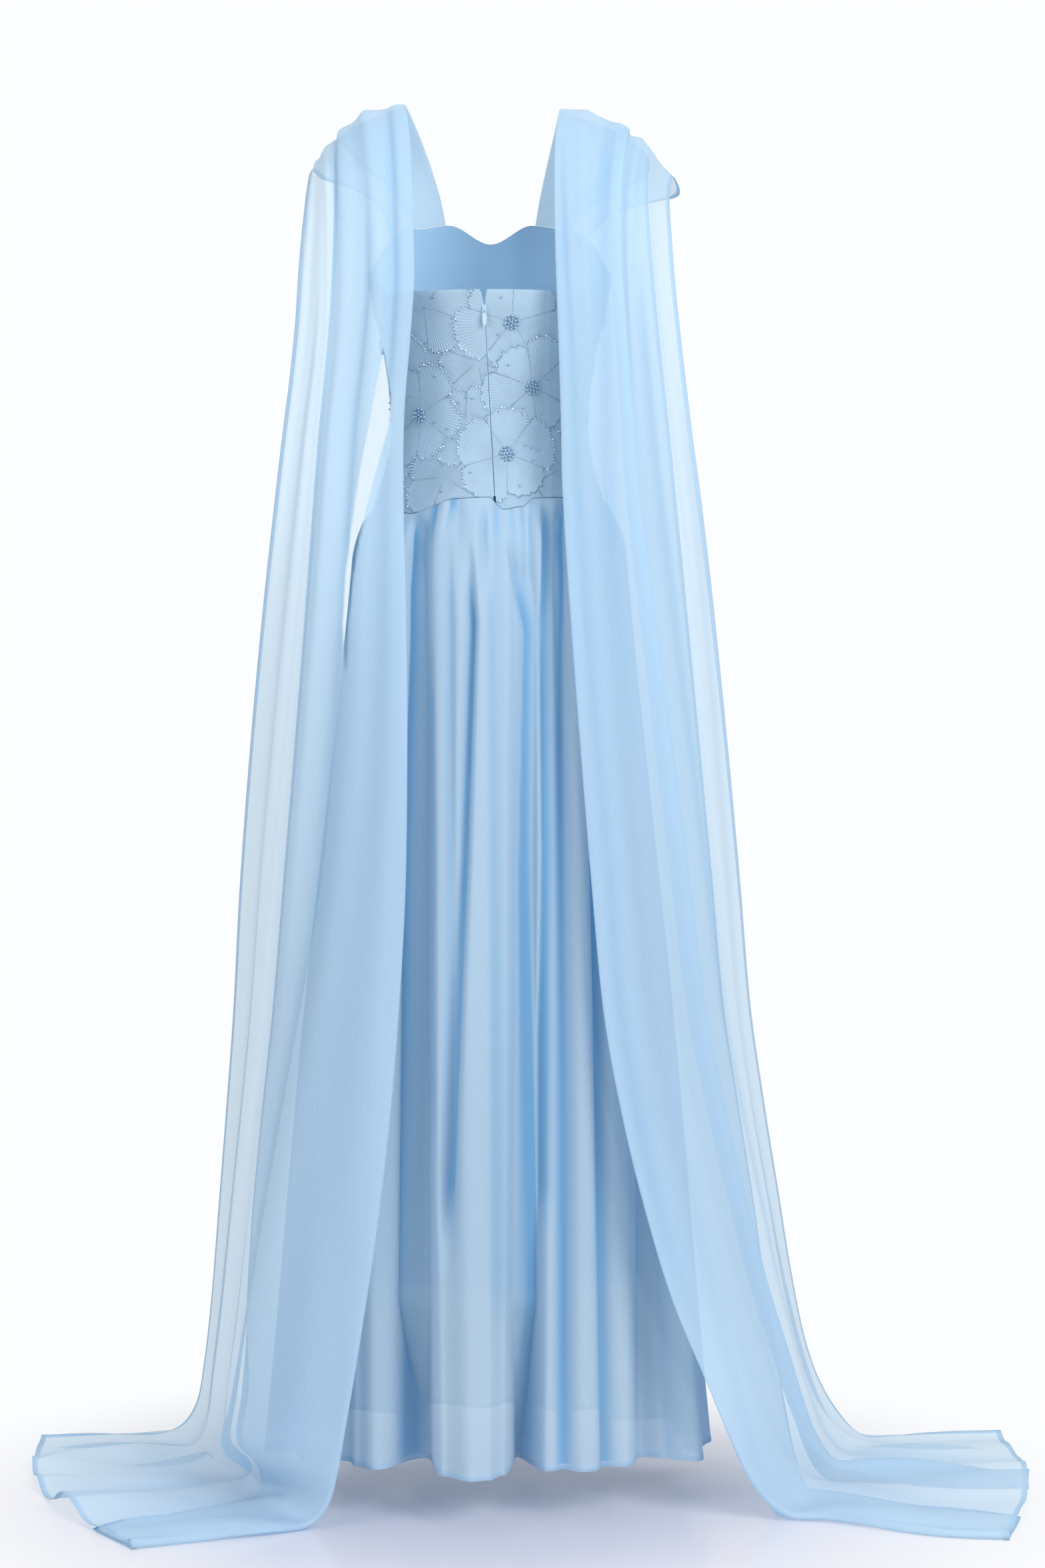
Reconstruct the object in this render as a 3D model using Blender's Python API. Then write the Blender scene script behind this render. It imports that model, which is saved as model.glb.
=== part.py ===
"""Embroidered strapless maxi dress with two long chiffon cape panels, in the pose of wear.

Metres, +Z up, the dress's front to -Y and its back to +Y. The origin is on the body axis
at the waist, where the wearer holds the dress. Heights in the tables are above the floor.
"""

import math

import bmesh
import bpy
from mathutils import Matrix, Vector

HELD_AT = 1.18
FLOOR = -HELD_AT

# Walls and the gaps between sewn pieces
BODICE_WALL = 0.0020
SKIRT_WALL = 0.0012
LINING_WALL = 0.0010
CAPE_WALL = 0.0012
SEAM_GAP = 0.0003
SEAM_ROW_GAP = 0.0005

# Heights above the floor
HEM = 0.055
LINING_HEM = 0.243
WAIST = 1.086

# Least space between the lining and the folds of the overskirt
LINING_CLEAR = 0.006

# The general figure that the bodice is cut for: half width, back depth and front depth
FIGURE = (
    # height, half_width, back, front
    (1.060, 0.1340, 0.1060, 0.1000),
    (1.086, 0.1270, 0.0990, 0.0970),
    (1.120, 0.1160, 0.0920, 0.0920),
    (1.170, 0.1075, 0.0840, 0.0860),
    (1.250, 0.1150, 0.0920, 0.0980),
    (1.317, 0.1300, 0.1000, 0.1160),
    (1.380, 0.1360, 0.1000, 0.1220),
    (1.430, 0.1340, 0.0960, 0.1120),
)

# Mean outline of the overskirt, on which its folds stand
SKIRT = (
    # height, half_width, back, front
    (0.055, 0.2380, 0.1330, 0.2120),
    (0.300, 0.2150, 0.1300, 0.1800),
    (0.550, 0.1900, 0.1280, 0.1450),
    (0.800, 0.1640, 0.1260, 0.1180),
    (0.960, 0.1480, 0.1220, 0.1080),
    (1.050, 0.1380, 0.1100, 0.1040),
    (1.086, 0.1266, 0.0986, 0.0966),
    (1.100, 0.1218, 0.0958, 0.0946),
)

LINING = (
    # height, half_width, back, front
    (0.243, 0.1650, 0.1000, 0.1250),
    (0.700, 0.1490, 0.1060, 0.1060),
    (0.960, 0.1385, 0.1090, 0.0990),
    (1.050, 0.1310, 0.1020, 0.0965),
    (1.086, 0.1246, 0.0966, 0.0946),
    (1.100, 0.1198, 0.0938, 0.0926),
)

# Folds of the overskirt at the hem, from the centre back towards the wearer's left
FOLDS = (
    # angle in degrees, way out from the mean outline
    (0.0, 0.034),
    (4.0, 0.040),
    (11.0, 0.018),
    (19.0, -0.055),
    (31.0, 0.004),
    (43.0, -0.022),
    (56.0, 0.006),
    (68.0, -0.025),
    (80.0, 0.012),
    (90.0, -0.004),
    (101.0, -0.022),
    (113.0, 0.018),
    (126.0, -0.026),
    (140.0, 0.022),
    (152.0, -0.030),
    (164.0, 0.010),
    (177.0, -0.024),
    (189.0, 0.014),
    (201.0, -0.026),
    (213.0, 0.006),
    (224.0, -0.030),
    (237.0, 0.026),
    (252.0, -0.022),
    (264.0, 0.008),
    (270.0, -0.002),
    (280.0, -0.024),
    (297.0, 0.022),
    (310.0, -0.034),
    (322.0, 0.000),
    (338.0, 0.010),
    (345.0, 0.004),
    (351.5, -0.058),
    (356.5, 0.012),
)
SIDE_SEAMS = (90.0, 270.0)
FOLD_SPREAD = 0.375

# Scalloped waist seam: angle round the figure, height above the floor
WAIST_SEAM = (
    (0.0, 1.094),
    (15.0, 1.093),
    (41.0, 1.077),
    (66.0, 1.093),
    (92.0, 1.079),
    (118.0, 1.093),
    (145.0, 1.079),
    (170.0, 1.093),
    (195.0, 1.079),
    (222.0, 1.093),
    (250.0, 1.079),
    (275.0, 1.092),
    (298.0, 1.080),
    (318.0, 1.0945),
    (337.0, 1.0935),
    (344.0, 1.084),
    (353.0, 1.081),
)

# Top edge of the bodice: angle round the figure, height above the floor
NECKLINE = (
    (0.0, 1.317),
    (50.0, 1.317),
    (95.0, 1.345),
    (140.0, 1.402),
    (160.0, 1.408),
    (180.0, 1.388),
    (200.0, 1.408),
    (220.0, 1.402),
    (265.0, 1.345),
    (310.0, 1.317),
)

# The zip leans a little, and opens in a small notch above the slider
ZIP_TOP_X = 0.005
ZIP_FOOT_X = -0.006
ZIP_TOP = 1.300
ZIP_FOOT = 1.0945
ZIP_HALF_WIDTH = 0.0016
ZIP_DEEP = 0.0016
NOTCH_HALF_WIDTH = 0.0062

# Rows of flat facets in the bodice, and the height of one
BODICE_ROWS = 8
BODICE_ROW = 0.040

# The slider with its bail, and the pull tab that hangs from the bail
SLIDER_HEIGHT = 1.296
SLIDER_SIZE = (0.0044, 0.0024, 0.0080)
BAIL_WIDTH = 0.0012
BAIL_REACH = 0.0030
BAIL_HALF_HEIGHT = 0.0030
BAIL_THICK = 0.0009
PULL_BAR = 0.0009
PULL_BAR_OUT = 0.0011
PULL_BAR_DOWN = 0.0009
PULL_LENGTH = 0.0180
PULL_WIDE = 0.0050
PULL_NECK = 0.0040
PULL_THICK = 0.0008
PULL_EYE_LONG = 0.0032
PULL_EYE_WIDE = 0.0025

# Cape panels, a row for each station from the front neckline to the end of the train:
# inner edge, outer edge, share of the width that is folded under, fold depth, bow, tail
CAPE_LEFT = (
    # in_x, in_y, in_z, out_x, out_y, out_z, under, fold, bow, tail
    (0.060, -0.104, 1.450, 0.132, -0.080, 1.436, 0.62, 0.004, 0.004, 0.0),
    (0.078, -0.064, 1.500, 0.180, -0.058, 1.450, 0.64, 0.005, 0.012, 0.0),
    (0.094, -0.010, 1.531, 0.1975, -0.020, 1.458, 0.66, 0.005, 0.018, 0.0),
    (0.088, 0.045, 1.500, 0.200, 0.030, 1.424, 0.68, 0.006, 0.018, 0.0),
    (0.084, 0.085, 1.445, 0.2025, 0.062, 1.385, 0.70, 0.007, 0.012, 0.0),
    (0.081, 0.112, 1.370, 0.206, 0.080, 1.330, 0.71, 0.008, 0.008, 0.0),
    (0.081, 0.124, 1.300, 0.2105, 0.088, 1.256, 0.72, 0.009, 0.006, 0.0),
    (0.090, 0.130, 1.197, 0.2213, 0.085, 1.170, 0.72, 0.010, 0.004, 0.0),
    (0.0916, 0.136, 1.080, 0.235, 0.070, 1.060, 0.72, 0.011, 0.004, 0.0),
    (0.0885, 0.146, 0.910, 0.255, 0.020, 0.900, 0.72, 0.012, 0.010, 0.0),
    (0.090, 0.150, 0.700, 0.276, -0.040, 0.690, 0.72, 0.013, 0.020, 0.0),
    (0.100, 0.154, 0.520, 0.290, -0.090, 0.500, 0.72, 0.013, 0.028, 0.0),
    (0.116, 0.158, 0.360, 0.306, -0.140, 0.340, 0.71, 0.013, 0.034, 0.0),
    (0.138, 0.164, 0.210, 0.321, -0.190, 0.190, 0.64, 0.013, 0.036, 0.0),
    (0.157, 0.168, 0.100, 0.336, -0.230, 0.085, 0.52, 0.013, 0.034, 0.0),
    (0.172, 0.162, 0.038, 0.352, -0.250, 0.030, 0.42, 0.013, 0.026, 0.0),
    (0.196, 0.158, 0.008, 0.388, -0.268, 0.008, 0.34, 0.012, 0.010, 0.004),
    (0.244, 0.186, 0.004, 0.440, -0.275, 0.004, 0.28, 0.012, 0.004, 0.014),
    (0.310, 0.210, 0.004, 0.490, -0.270, 0.004, 0.22, 0.012, 0.002, 0.030),
    (0.372, 0.232, 0.004, 0.528, -0.264, 0.004, 0.16, 0.011, 0.000, 0.046),
)
CAPE_RIGHT = (
    # in_x, in_y, in_z, out_x, out_y, out_z, under, fold, bow, tail
    (-0.058, -0.104, 1.448, -0.148, -0.084, 1.426, 0.66, 0.004, 0.004, 0.0),
    (-0.070, -0.064, 1.497, -0.207, -0.068, 1.432, 0.72, 0.005, 0.014, 0.0),
    (-0.078, -0.010, 1.526, -0.203, -0.022, 1.452, 0.76, 0.005, 0.018, 0.0),
    (-0.073, 0.045, 1.495, -0.196, 0.030, 1.424, 0.80, 0.006, 0.018, 0.0),
    (-0.071, 0.085, 1.437, -0.197, 0.060, 1.385, 0.82, 0.007, 0.012, 0.0),
    (-0.072, 0.112, 1.350, -0.200, 0.078, 1.330, 0.84, 0.008, 0.008, 0.0),
    (-0.0745, 0.124, 1.283, -0.2075, 0.084, 1.256, 0.85, 0.010, 0.006, 0.0),
    (-0.0774, 0.130, 1.197, -0.218, 0.078, 1.170, 0.86, 0.011, 0.004, 0.0),
    (-0.081, 0.136, 1.080, -0.232, 0.062, 1.070, 0.86, 0.012, 0.004, 0.0),
    (-0.0935, 0.146, 0.910, -0.253, 0.016, 0.900, 0.86, 0.013, 0.010, 0.0),
    (-0.1107, 0.150, 0.700, -0.275, -0.030, 0.690, 0.86, 0.014, 0.018, 0.0),
    (-0.129, 0.154, 0.520, -0.2927, -0.070, 0.510, 0.85, 0.014, 0.024, 0.0),
    (-0.160, 0.156, 0.375, -0.318, -0.110, 0.360, 0.83, 0.014, 0.028, 0.0),
    (-0.196, 0.150, 0.250, -0.340, -0.150, 0.230, 0.74, 0.014, 0.030, 0.0),
    (-0.242, 0.140, 0.140, -0.365, -0.190, 0.120, 0.60, 0.014, 0.028, 0.0),
    (-0.276, 0.130, 0.066, -0.396, -0.220, 0.050, 0.48, 0.014, 0.020, 0.0),
    (-0.318, 0.118, 0.012, -0.432, -0.252, 0.010, 0.38, 0.013, 0.010, 0.004),
    (-0.378, 0.130, 0.004, -0.480, -0.270, 0.004, 0.30, 0.012, 0.004, 0.010),
    (-0.450, 0.178, 0.004, -0.546, -0.284, 0.004, 0.24, 0.012, 0.002, 0.018),
    (-0.546, 0.194, 0.004, -0.600, -0.290, 0.004, 0.18, 0.010, 0.000, 0.026),
)

# Where the cape panels are gathered to the front neckline: inner and outer angle, depth
CAPE_SEWN_LEFT = (158.0, 126.0)
CAPE_SEWN_RIGHT = (202.0, 234.0)
CAPE_SEWN_FOLD = 0.003

# Cross-section of a cape panel: share of the width, way out in fold depths.
# The part folded under runs from the free inner edge to the fold.
UNDER_LEFT = ((1.00, -1.10), (0.76, -0.85), (0.48, -1.25), (0.24, -1.00), (0.06, -0.75))
OVER_LEFT = (
    (0.00, -0.15),
    (0.07, 0.35),
    (0.19, 0.10),
    (0.33, 0.55),
    (0.46, -0.10),
    (0.58, 0.35),
    (0.69, -0.25),
    (0.78, 0.30),
    (0.89, -0.15),
    (1.00, 0.05),
)
UNDER_RIGHT = ((1.00, -1.35), (0.76, -1.20), (0.48, -1.50), (0.24, -1.25), (0.06, -0.80))
OVER_RIGHT = (
    (0.00, -0.15),
    (0.10, 0.35),
    (0.28, 0.15),
    (0.46, 0.60),
    (0.53, 0.40),
    (0.45, -0.30),
    (0.56, -0.50),
    (0.72, 0.15),
    (0.85, -0.30),
    (1.00, 0.05),
)
CAPE_STEPS = 27
UNDER_CLEAR = 0.0030

# Bead clusters at the hearts of the embroidered flowers: angle round the figure, height
BEAD_CLUSTERS = (
    (-11.5, 1.282),
    (-25.0, 1.213),
    (-10.0, 1.141),
    (44.0, 1.184),
    (84.0, 1.262),
    (-72.0, 1.185),
    (-100.0, 1.290),
    (128.0, 1.190),
    (152.0, 1.320),
    (186.0, 1.240),
    (212.0, 1.330),
    (228.0, 1.180),
)
CLUSTER_RADIUS = 0.0088
CLUSTER_HIGH = 0.0036
CLUSTER_SEAT = 0.0003

CHIFFON = (0.50, 0.68, 0.84)
LINING_BLUE = (0.36, 0.56, 0.76)
TULLE_BLUE = (0.40, 0.58, 0.74)
PEARL_BLUE = (0.30, 0.42, 0.54)


def clear_scene():
    for thing in list(bpy.data.objects):
        bpy.data.objects.remove(thing, do_unlink=True)


def finish_material(name, colour, roughness, metallic=0.0):
    material = bpy.data.materials.new(name)
    material.use_nodes = True
    shader = material.node_tree.nodes["Principled BSDF"]
    shader.inputs["Base Color"].default_value = (*colour, 1.0)
    shader.inputs["Roughness"].default_value = roughness
    shader.inputs["Metallic"].default_value = metallic
    material.diffuse_color = (*colour, 1.0)
    return material


def new_object(name, bm, material):
    """The bmesh as a shaded object, with its faces turned outwards."""
    bmesh.ops.recalc_face_normals(bm, faces=bm.faces)
    mesh = bpy.data.meshes.new(name)
    bm.to_mesh(mesh)
    bm.free()
    mesh.materials.append(material)
    mesh.shade_smooth()
    mesh.set_sharp_from_angle(angle=math.radians(50))
    thing = bpy.data.objects.new(name, mesh)
    bpy.context.scene.collection.objects.link(thing)
    return thing


def blend_rows(rows, height):
    """Values of a table at a height, on smooth curves through its rows."""
    last = len(rows) - 1
    place = 0
    while place < last - 1 and height > rows[place + 1][0]:
        place += 1
    low, high = rows[place], rows[place + 1]
    before, after = rows[max(place - 1, 0)], rows[min(place + 2, last)]
    span = high[0] - low[0]
    t = (height - low[0]) / span
    values = []
    for column in range(1, len(low)):
        rise_low = (high[column] - before[column]) / (high[0] - before[0]) * span
        rise_high = (after[column] - low[column]) / (after[0] - low[0]) * span
        values.append(
            low[column] * (2 * t**3 - 3 * t**2 + 1)
            + rise_low * (t**3 - 2 * t**2 + t)
            + high[column] * (3 * t**2 - 2 * t**3)
            + rise_high * (t**3 - t**2)
        )
    return values


def round_table(rows, angle):
    """Value of a closed table at an angle, easing from one row to the next."""
    angle %= 360.0
    for place, (start, value) in enumerate(rows):
        end, after = rows[(place + 1) % len(rows)]
        end = end if end > start else end + 360.0
        if start <= angle <= end:
            t = (angle - start) / (end - start)
            return value + (after - value) * t * t * (3 - 2 * t)
    return rows[0][1]


def on_outline(rows, height, angle, out=0.0):
    """Point of an outline table at a height above the floor, and angle from the centre back."""
    half_width, back, front = blend_rows(rows, height)
    turn = math.radians(angle)
    depth = back if math.cos(turn) > 0 else front
    across = Vector((math.sin(turn) * depth, math.cos(turn) * half_width, 0.0)).normalized()
    point = Vector((math.sin(turn) * half_width, math.cos(turn) * depth, height + FLOOR))
    return point + across * out


def wall(name, outside, inside, material):
    """Closed wall between two grids of points, each a list of rows of the same length."""
    bm = bmesh.new()
    faces_of = []
    for rows in (outside, inside):
        faces_of.append([[bm.verts.new(point) for point in row] for row in rows])
    outer, inner = faces_of
    high, wide = len(outer) - 1, len(outer[0]) - 1
    # Both sides are cut along the same diagonal, so that a twisted wall keeps its thickness
    for i in range(high):
        for j in range(wide):
            for side, step in ((outer, 1), (inner, -1)):
                near = (side[i][j], side[i][j + 1], side[i + 1][j + 1])
                far = (side[i][j], side[i + 1][j + 1], side[i + 1][j])
                bm.faces.new(near[::step])
                bm.faces.new(far[::step])
    for i in range(high):
        for j in (0, wide):
            bm.faces.new((outer[i][j], outer[i + 1][j], inner[i + 1][j], inner[i][j]))
    for j in range(wide):
        for i in (0, high):
            bm.faces.new((outer[i][j], inner[i][j], inner[i][j + 1], outer[i][j + 1]))
    return new_object(name, bm, material)


def fold_columns(start, end):
    """Hem angles of the columns from one seam to the other: each fold and half-way to the next."""
    angles = [angle for angle, _ in FOLDS] + [FOLDS[0][0] + 360.0]
    columns = []
    for low, high in zip(angles, angles[1:]):
        columns += [low, (low + high) / 2]
    columns = columns + [angle + 360.0 for angle in columns]
    return [angle for angle in columns if start - 1e-6 <= angle <= end + 1e-6]


def straight_down(angle, share):
    """Angle round the figure, at this share of the drop, of a fold that has this angle at the hem."""
    turn = math.radians(angle)
    return angle + math.degrees(FOLD_SPREAD * (1 - share) * math.sin(2 * turn))


def lining_point(angle, share, out):
    top = round_table(WAIST_SEAM, straight_down(angle, 0.0)) - SEAM_ROW_GAP
    height = top + (LINING_HEM - top) * share
    return on_outline(LINING, height, straight_down(angle, share * 0.8), out)


def clear_of(point, half_width, depth):
    """The point, moved straight out of an upright ellipse where it lies inside."""
    reach = math.hypot(point.x / half_width, point.y / depth)
    if reach >= 1.0 or reach < 1e-6:
        return point
    return Vector((point.x / reach, point.y / reach, point.z))


def overskirt_point(angle, share, out):
    """Point of the overskirt, share of the way from the waist seam to the hem."""
    top = round_table(WAIST_SEAM, straight_down(angle, 0.0)) - SEAM_ROW_GAP
    height = top + (HEM - top) * share
    fold = round_table(FOLDS, angle) * share**0.9
    point = on_outline(SKIRT, height, straight_down(angle, share), fold)
    lining_height = max(height, LINING_HEM)
    half_width, back, front = blend_rows(LINING, lining_height)
    depth = back if point.y > 0 else front
    spare = (SKIRT_WALL + LINING_CLEAR) * min(1.0, share * 12)
    below = LINING_HEM - 0.015 - height
    shrink = 1.0 - 0.45 * max(0.0, below) / (LINING_HEM - HEM)
    if share > 0:
        point = clear_of(point, (half_width + spare) * shrink, (depth + spare) * shrink)
    across = Vector((point.x, point.y, 0.0)).normalized()
    return point + across * out


def tube_panel(name, point_of, columns, shares, thick, material, gap=SEAM_GAP):
    """A panel of a tube from a function of hem angle, share of the drop and way out."""
    reach = 0.2
    trimmed = list(columns)
    trimmed[0] += math.degrees(gap / 2 / reach)
    trimmed[-1] -= math.degrees(gap / 2 / reach)
    outside = [[point_of(angle, share, 0.0) for angle in trimmed] for share in shares]
    inside = [[point_of(angle, share, -thick) for angle in trimmed] for share in shares]
    return wall(name, outside, inside, material)


def zip_x(height):
    share = (height - ZIP_FOOT) / (ZIP_TOP - ZIP_FOOT)
    return ZIP_FOOT_X + (ZIP_TOP_X - ZIP_FOOT_X) * share


def zip_gap(height):
    """Half the space between the two backs: the strip's slot, and the notch over the slider."""
    slot = ZIP_HALF_WIDTH + SEAM_GAP
    opened = max(0.0, (height - ZIP_TOP - 0.003) / 0.014)
    return slot + (NOTCH_HALF_WIDTH - slot) * min(1.0, opened)


def bodice_panel(name, columns, zip_end, material):
    """A bodice panel. zip_end is 0 or -1 for the column that runs along the zip, or None."""
    angles = [straight_down(angle, 0.0) for angle in columns]
    side_trim = math.degrees(SEAM_GAP / 2 / 0.12)
    outside, inside = [], []
    for step in range(BODICE_ROWS + 1):
        outer_row, inner_row = [], []
        for place, angle in enumerate(angles):
            foot = round_table(WAIST_SEAM, angle)
            head = round_table(NECKLINE, angle)
            height = foot + (head - foot) * step / BODICE_ROWS
            if zip_end is not None and place == zip_end % len(angles):
                side = 1.0 if zip_end == 0 else -1.0
                half_width = blend_rows(FIGURE, height)[0]
                edge = zip_x(height) + side * zip_gap(height)
                angle = math.degrees(math.asin(edge / half_width))
            elif place == 0:
                angle += side_trim
            elif place == len(angles) - 1:
                angle -= side_trim
            outer_row.append(on_outline(FIGURE, height, angle))
            inner_row.append(on_outline(FIGURE, height, angle, -BODICE_WALL))
        outside.append(outer_row)
        inside.append(inner_row)
    return wall(name, outside, inside, material)


def zip_strip(material):
    outside, inside = [], []
    for step in range(BODICE_ROWS + 1):
        height = ZIP_FOOT + (ZIP_TOP - ZIP_FOOT) * step / BODICE_ROWS
        half_width = blend_rows(FIGURE, height)[0]
        rows = ([], [])
        for side in (-1, 1):
            x = zip_x(height) + side * ZIP_HALF_WIDTH
            angle = math.degrees(math.asin(x / half_width))
            rows[0].append(on_outline(FIGURE, height, angle, -0.0002))
            rows[1].append(on_outline(FIGURE, height, angle, -0.0002 - ZIP_DEEP))
        outside.append(rows[0])
        inside.append(rows[1])
    return wall("zip_coil", outside, inside, material)


def zip_seat():
    """Place and lean of the slider: on the strip's face, square to it."""
    low = on_outline(FIGURE, SLIDER_HEIGHT - 0.004, 0.0)
    high = on_outline(FIGURE, SLIDER_HEIGHT + 0.004, 0.0)
    up = (high - low).normalized()
    right = Vector((1.0, 0.0, 0.0))
    out = up.cross(right) * -1.0
    if out.y < 0:
        out = -out
    middle = (low + high) / 2
    middle.x = zip_x(SLIDER_HEIGHT)
    return Matrix.Translation(middle) @ Matrix((right, out, up)).transposed().to_4x4()


def zip_slider(seat, material):
    """Slider body with rounded edges, and the bail that the pull hangs from, as one solid."""
    bm = bmesh.new()
    wide, deep, high = SLIDER_SIZE
    bmesh.ops.create_cube(bm, size=1.0)
    bmesh.ops.scale(bm, vec=(wide, deep, high), verts=bm.verts)
    bmesh.ops.translate(bm, vec=(0, SEAM_GAP + deep / 2, 0), verts=bm.verts)
    upright = [e for e in bm.edges if abs(e.verts[0].co.z - e.verts[1].co.z) > high / 2]
    bmesh.ops.bevel(
        bm, geom=upright, offset=0.0009, segments=2, profile=0.5, affect="EDGES", material=-1
    )
    body = new_object("zip_slider", bm, material)

    bm = bmesh.new()
    face = SEAM_GAP + deep
    turns = 8
    loops = ([], [])
    for step in range(turns + 1):
        turn = math.pi * step / turns
        for loop, radius, reach in (
            (loops[0], BAIL_HALF_HEIGHT, BAIL_REACH),
            (loops[1], BAIL_HALF_HEIGHT - BAIL_THICK, BAIL_REACH - BAIL_THICK),
        ):
            loop.append((face + math.sin(turn) ** 0.6 * reach, math.cos(turn) * radius))
    root = face - 0.0008
    outline = [(root, BAIL_HALF_HEIGHT)] + loops[0] + [(root, -BAIL_HALF_HEIGHT)]
    inner = BAIL_HALF_HEIGHT - BAIL_THICK
    outline += [(root, -inner)] + loops[1][::-1] + [(root, inner)]
    half = len(outline) // 2
    sides = []
    for x in (-BAIL_WIDTH / 2, BAIL_WIDTH / 2):
        sides.append([bm.verts.new((x, y, z)) for y, z in outline])
    count = len(outline)
    for k in range(half - 1):
        for side in sides:
            bm.faces.new((side[k], side[k + 1], side[count - 2 - k], side[count - 1 - k]))
    for k in range(count):
        after = (k + 1) % count
        bm.faces.new((sides[0][k], sides[0][after], sides[1][after], sides[1][k]))
    bail = new_object("bail_shape", bm, material)
    bail.hide_render = True
    bail.display_type = "WIRE"

    body.matrix_world = seat
    bail.matrix_world = seat
    union = body.modifiers.new("bail", "BOOLEAN")
    union.operation = "UNION"
    union.object = bail
    return body


def pull_outline(count):
    """Teardrop outline, from the eye end at the bar down to the round foot."""
    points = []
    for step in range(count):
        turn = 2 * math.pi * step / count
        down = (1 - math.cos(turn)) / 2
        swell = PULL_NECK + (PULL_WIDE - PULL_NECK) * down**1.5
        x = math.sin(turn) * swell / 2 * (1.0 + 0.12 * math.sin(turn) ** 2)
        points.append((x, PULL_BAR / 2 - PULL_LENGTH * down))
    return points


def zip_pull(seat, material):
    """Flat teardrop tab. Its object origin is the bar's centre, the axis it swings about."""
    count = 24
    bar = Vector((0.0, SEAM_GAP + SLIDER_SIZE[1] + PULL_BAR_OUT, -PULL_BAR_DOWN))
    bm = bmesh.new()
    eye_centre = -PULL_BAR / 2 - PULL_EYE_LONG / 2
    hole = []
    for step in range(count):
        turn = 2 * math.pi * step / count
        x = math.copysign(abs(math.sin(turn)) ** 0.7, math.sin(turn)) * PULL_EYE_WIDE / 2
        z = eye_centre + math.copysign(abs(math.cos(turn)) ** 0.7, math.cos(turn)) * (
            PULL_EYE_LONG / 2
        )
        hole.append((x, z))
    rings = []
    for y in (-PULL_THICK / 2, PULL_THICK / 2):
        for outline in (pull_outline(count), hole):
            rings.append([bm.verts.new((x, y, z)) for x, z in outline])
    back_outer, back_hole, front_outer, front_hole = rings
    for k in range(count):
        n = (k + 1) % count
        bm.faces.new((back_outer[k], back_outer[n], back_hole[n], back_hole[k]))
        bm.faces.new((front_outer[k], front_hole[k], front_hole[n], front_outer[n]))
        bm.faces.new((back_outer[k], front_outer[k], front_outer[n], back_outer[n]))
        bm.faces.new((back_hole[k], back_hole[n], front_hole[n], front_hole[k]))
    pull = new_object("zip_pull", bm, material)
    pull.matrix_world = Matrix.Translation(seat @ bar)
    return pull


def swell_under(seat, out, angle, height):
    """How far the bodice stands out of the cluster's base plane, under its rim."""
    arm = math.degrees(CLUSTER_RADIUS / 0.11)
    above = on_outline(FIGURE, height + BODICE_ROW / 2, angle)
    below = on_outline(FIGURE, height - BODICE_ROW / 2, angle)
    most = max(0.0, ((above + below) / 2 - seat).dot(out))
    for step in range(8):
        turn = math.pi * step / 4
        rim = on_outline(
            FIGURE, height + CLUSTER_RADIUS * math.sin(turn), angle + arm * math.cos(turn)
        )
        most = max(most, (rim - seat).dot(out))
    return most


def bead_cluster(name, angle, height, material):
    """Low dome of beads, seated on the bodice."""
    seat = on_outline(FIGURE, height, angle)
    aside = on_outline(FIGURE, height, angle + 1.0) - on_outline(FIGURE, height, angle - 1.0)
    upward = on_outline(FIGURE, height + 0.004, angle) - on_outline(FIGURE, height - 0.004, angle)
    out = aside.cross(upward).normalized()
    if out.dot(Vector((seat.x, seat.y, 0.0))) < 0:
        out = -out
    bm = bmesh.new()
    bmesh.ops.create_uvsphere(bm, u_segments=14, v_segments=8, radius=1.0)
    everything = list(bm.verts) + list(bm.edges) + list(bm.faces)
    cut = bmesh.ops.bisect_plane(
        bm, geom=everything, plane_co=(0, 0, 0.08), plane_no=(0, 0, 1), clear_inner=True
    )
    rim = [part for part in cut["geom_cut"] if isinstance(part, bmesh.types.BMEdge)]
    bmesh.ops.contextual_create(bm, geom=rim)
    bmesh.ops.translate(bm, vec=(0, 0, -0.08), verts=bm.verts)
    bmesh.ops.scale(bm, vec=(CLUSTER_RADIUS, CLUSTER_RADIUS, CLUSTER_HIGH), verts=bm.verts)
    dome = new_object(name, bm, material)
    turn = out.to_track_quat("Z", "Y").to_matrix().to_4x4()
    spare = CLUSTER_SEAT + swell_under(seat, out, angle, height)
    dome.matrix_world = Matrix.Translation(seat + out * spare) @ turn
    return dome


def clear_of_figure(point, spare):
    """A cape point, kept outside the bodice and the overskirt."""
    height = point.z - FLOOR
    if height > 1.37 or height < 0.045:
        return point
    if height > WAIST:
        half_width, back, front = blend_rows(FIGURE, height)
    else:
        half_width, back, front = blend_rows(SKIRT, height)
        share = (WAIST - height) / (WAIST - HEM)
        folds = 0.004 + 0.026 * share
        half_width, back, front = half_width + folds, back + folds, front + folds
    depth = back if point.y > 0 else front
    return clear_of(point, half_width + spare, depth + spare)


def curve_through(points, place):
    """Point at a fractional place on a smooth curve through a list of vectors."""
    last = len(points) - 1
    low = min(int(place), last - 1)
    t = place - low
    a, b = points[max(low - 1, 0)], points[low]
    c, d = points[low + 1], points[min(low + 2, last)]
    return 0.5 * (
        2 * b + (c - a) * t + (2 * a - 5 * b + 4 * c - d) * t**2 + (3 * b - a - 3 * c + d) * t**3
    )


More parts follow.
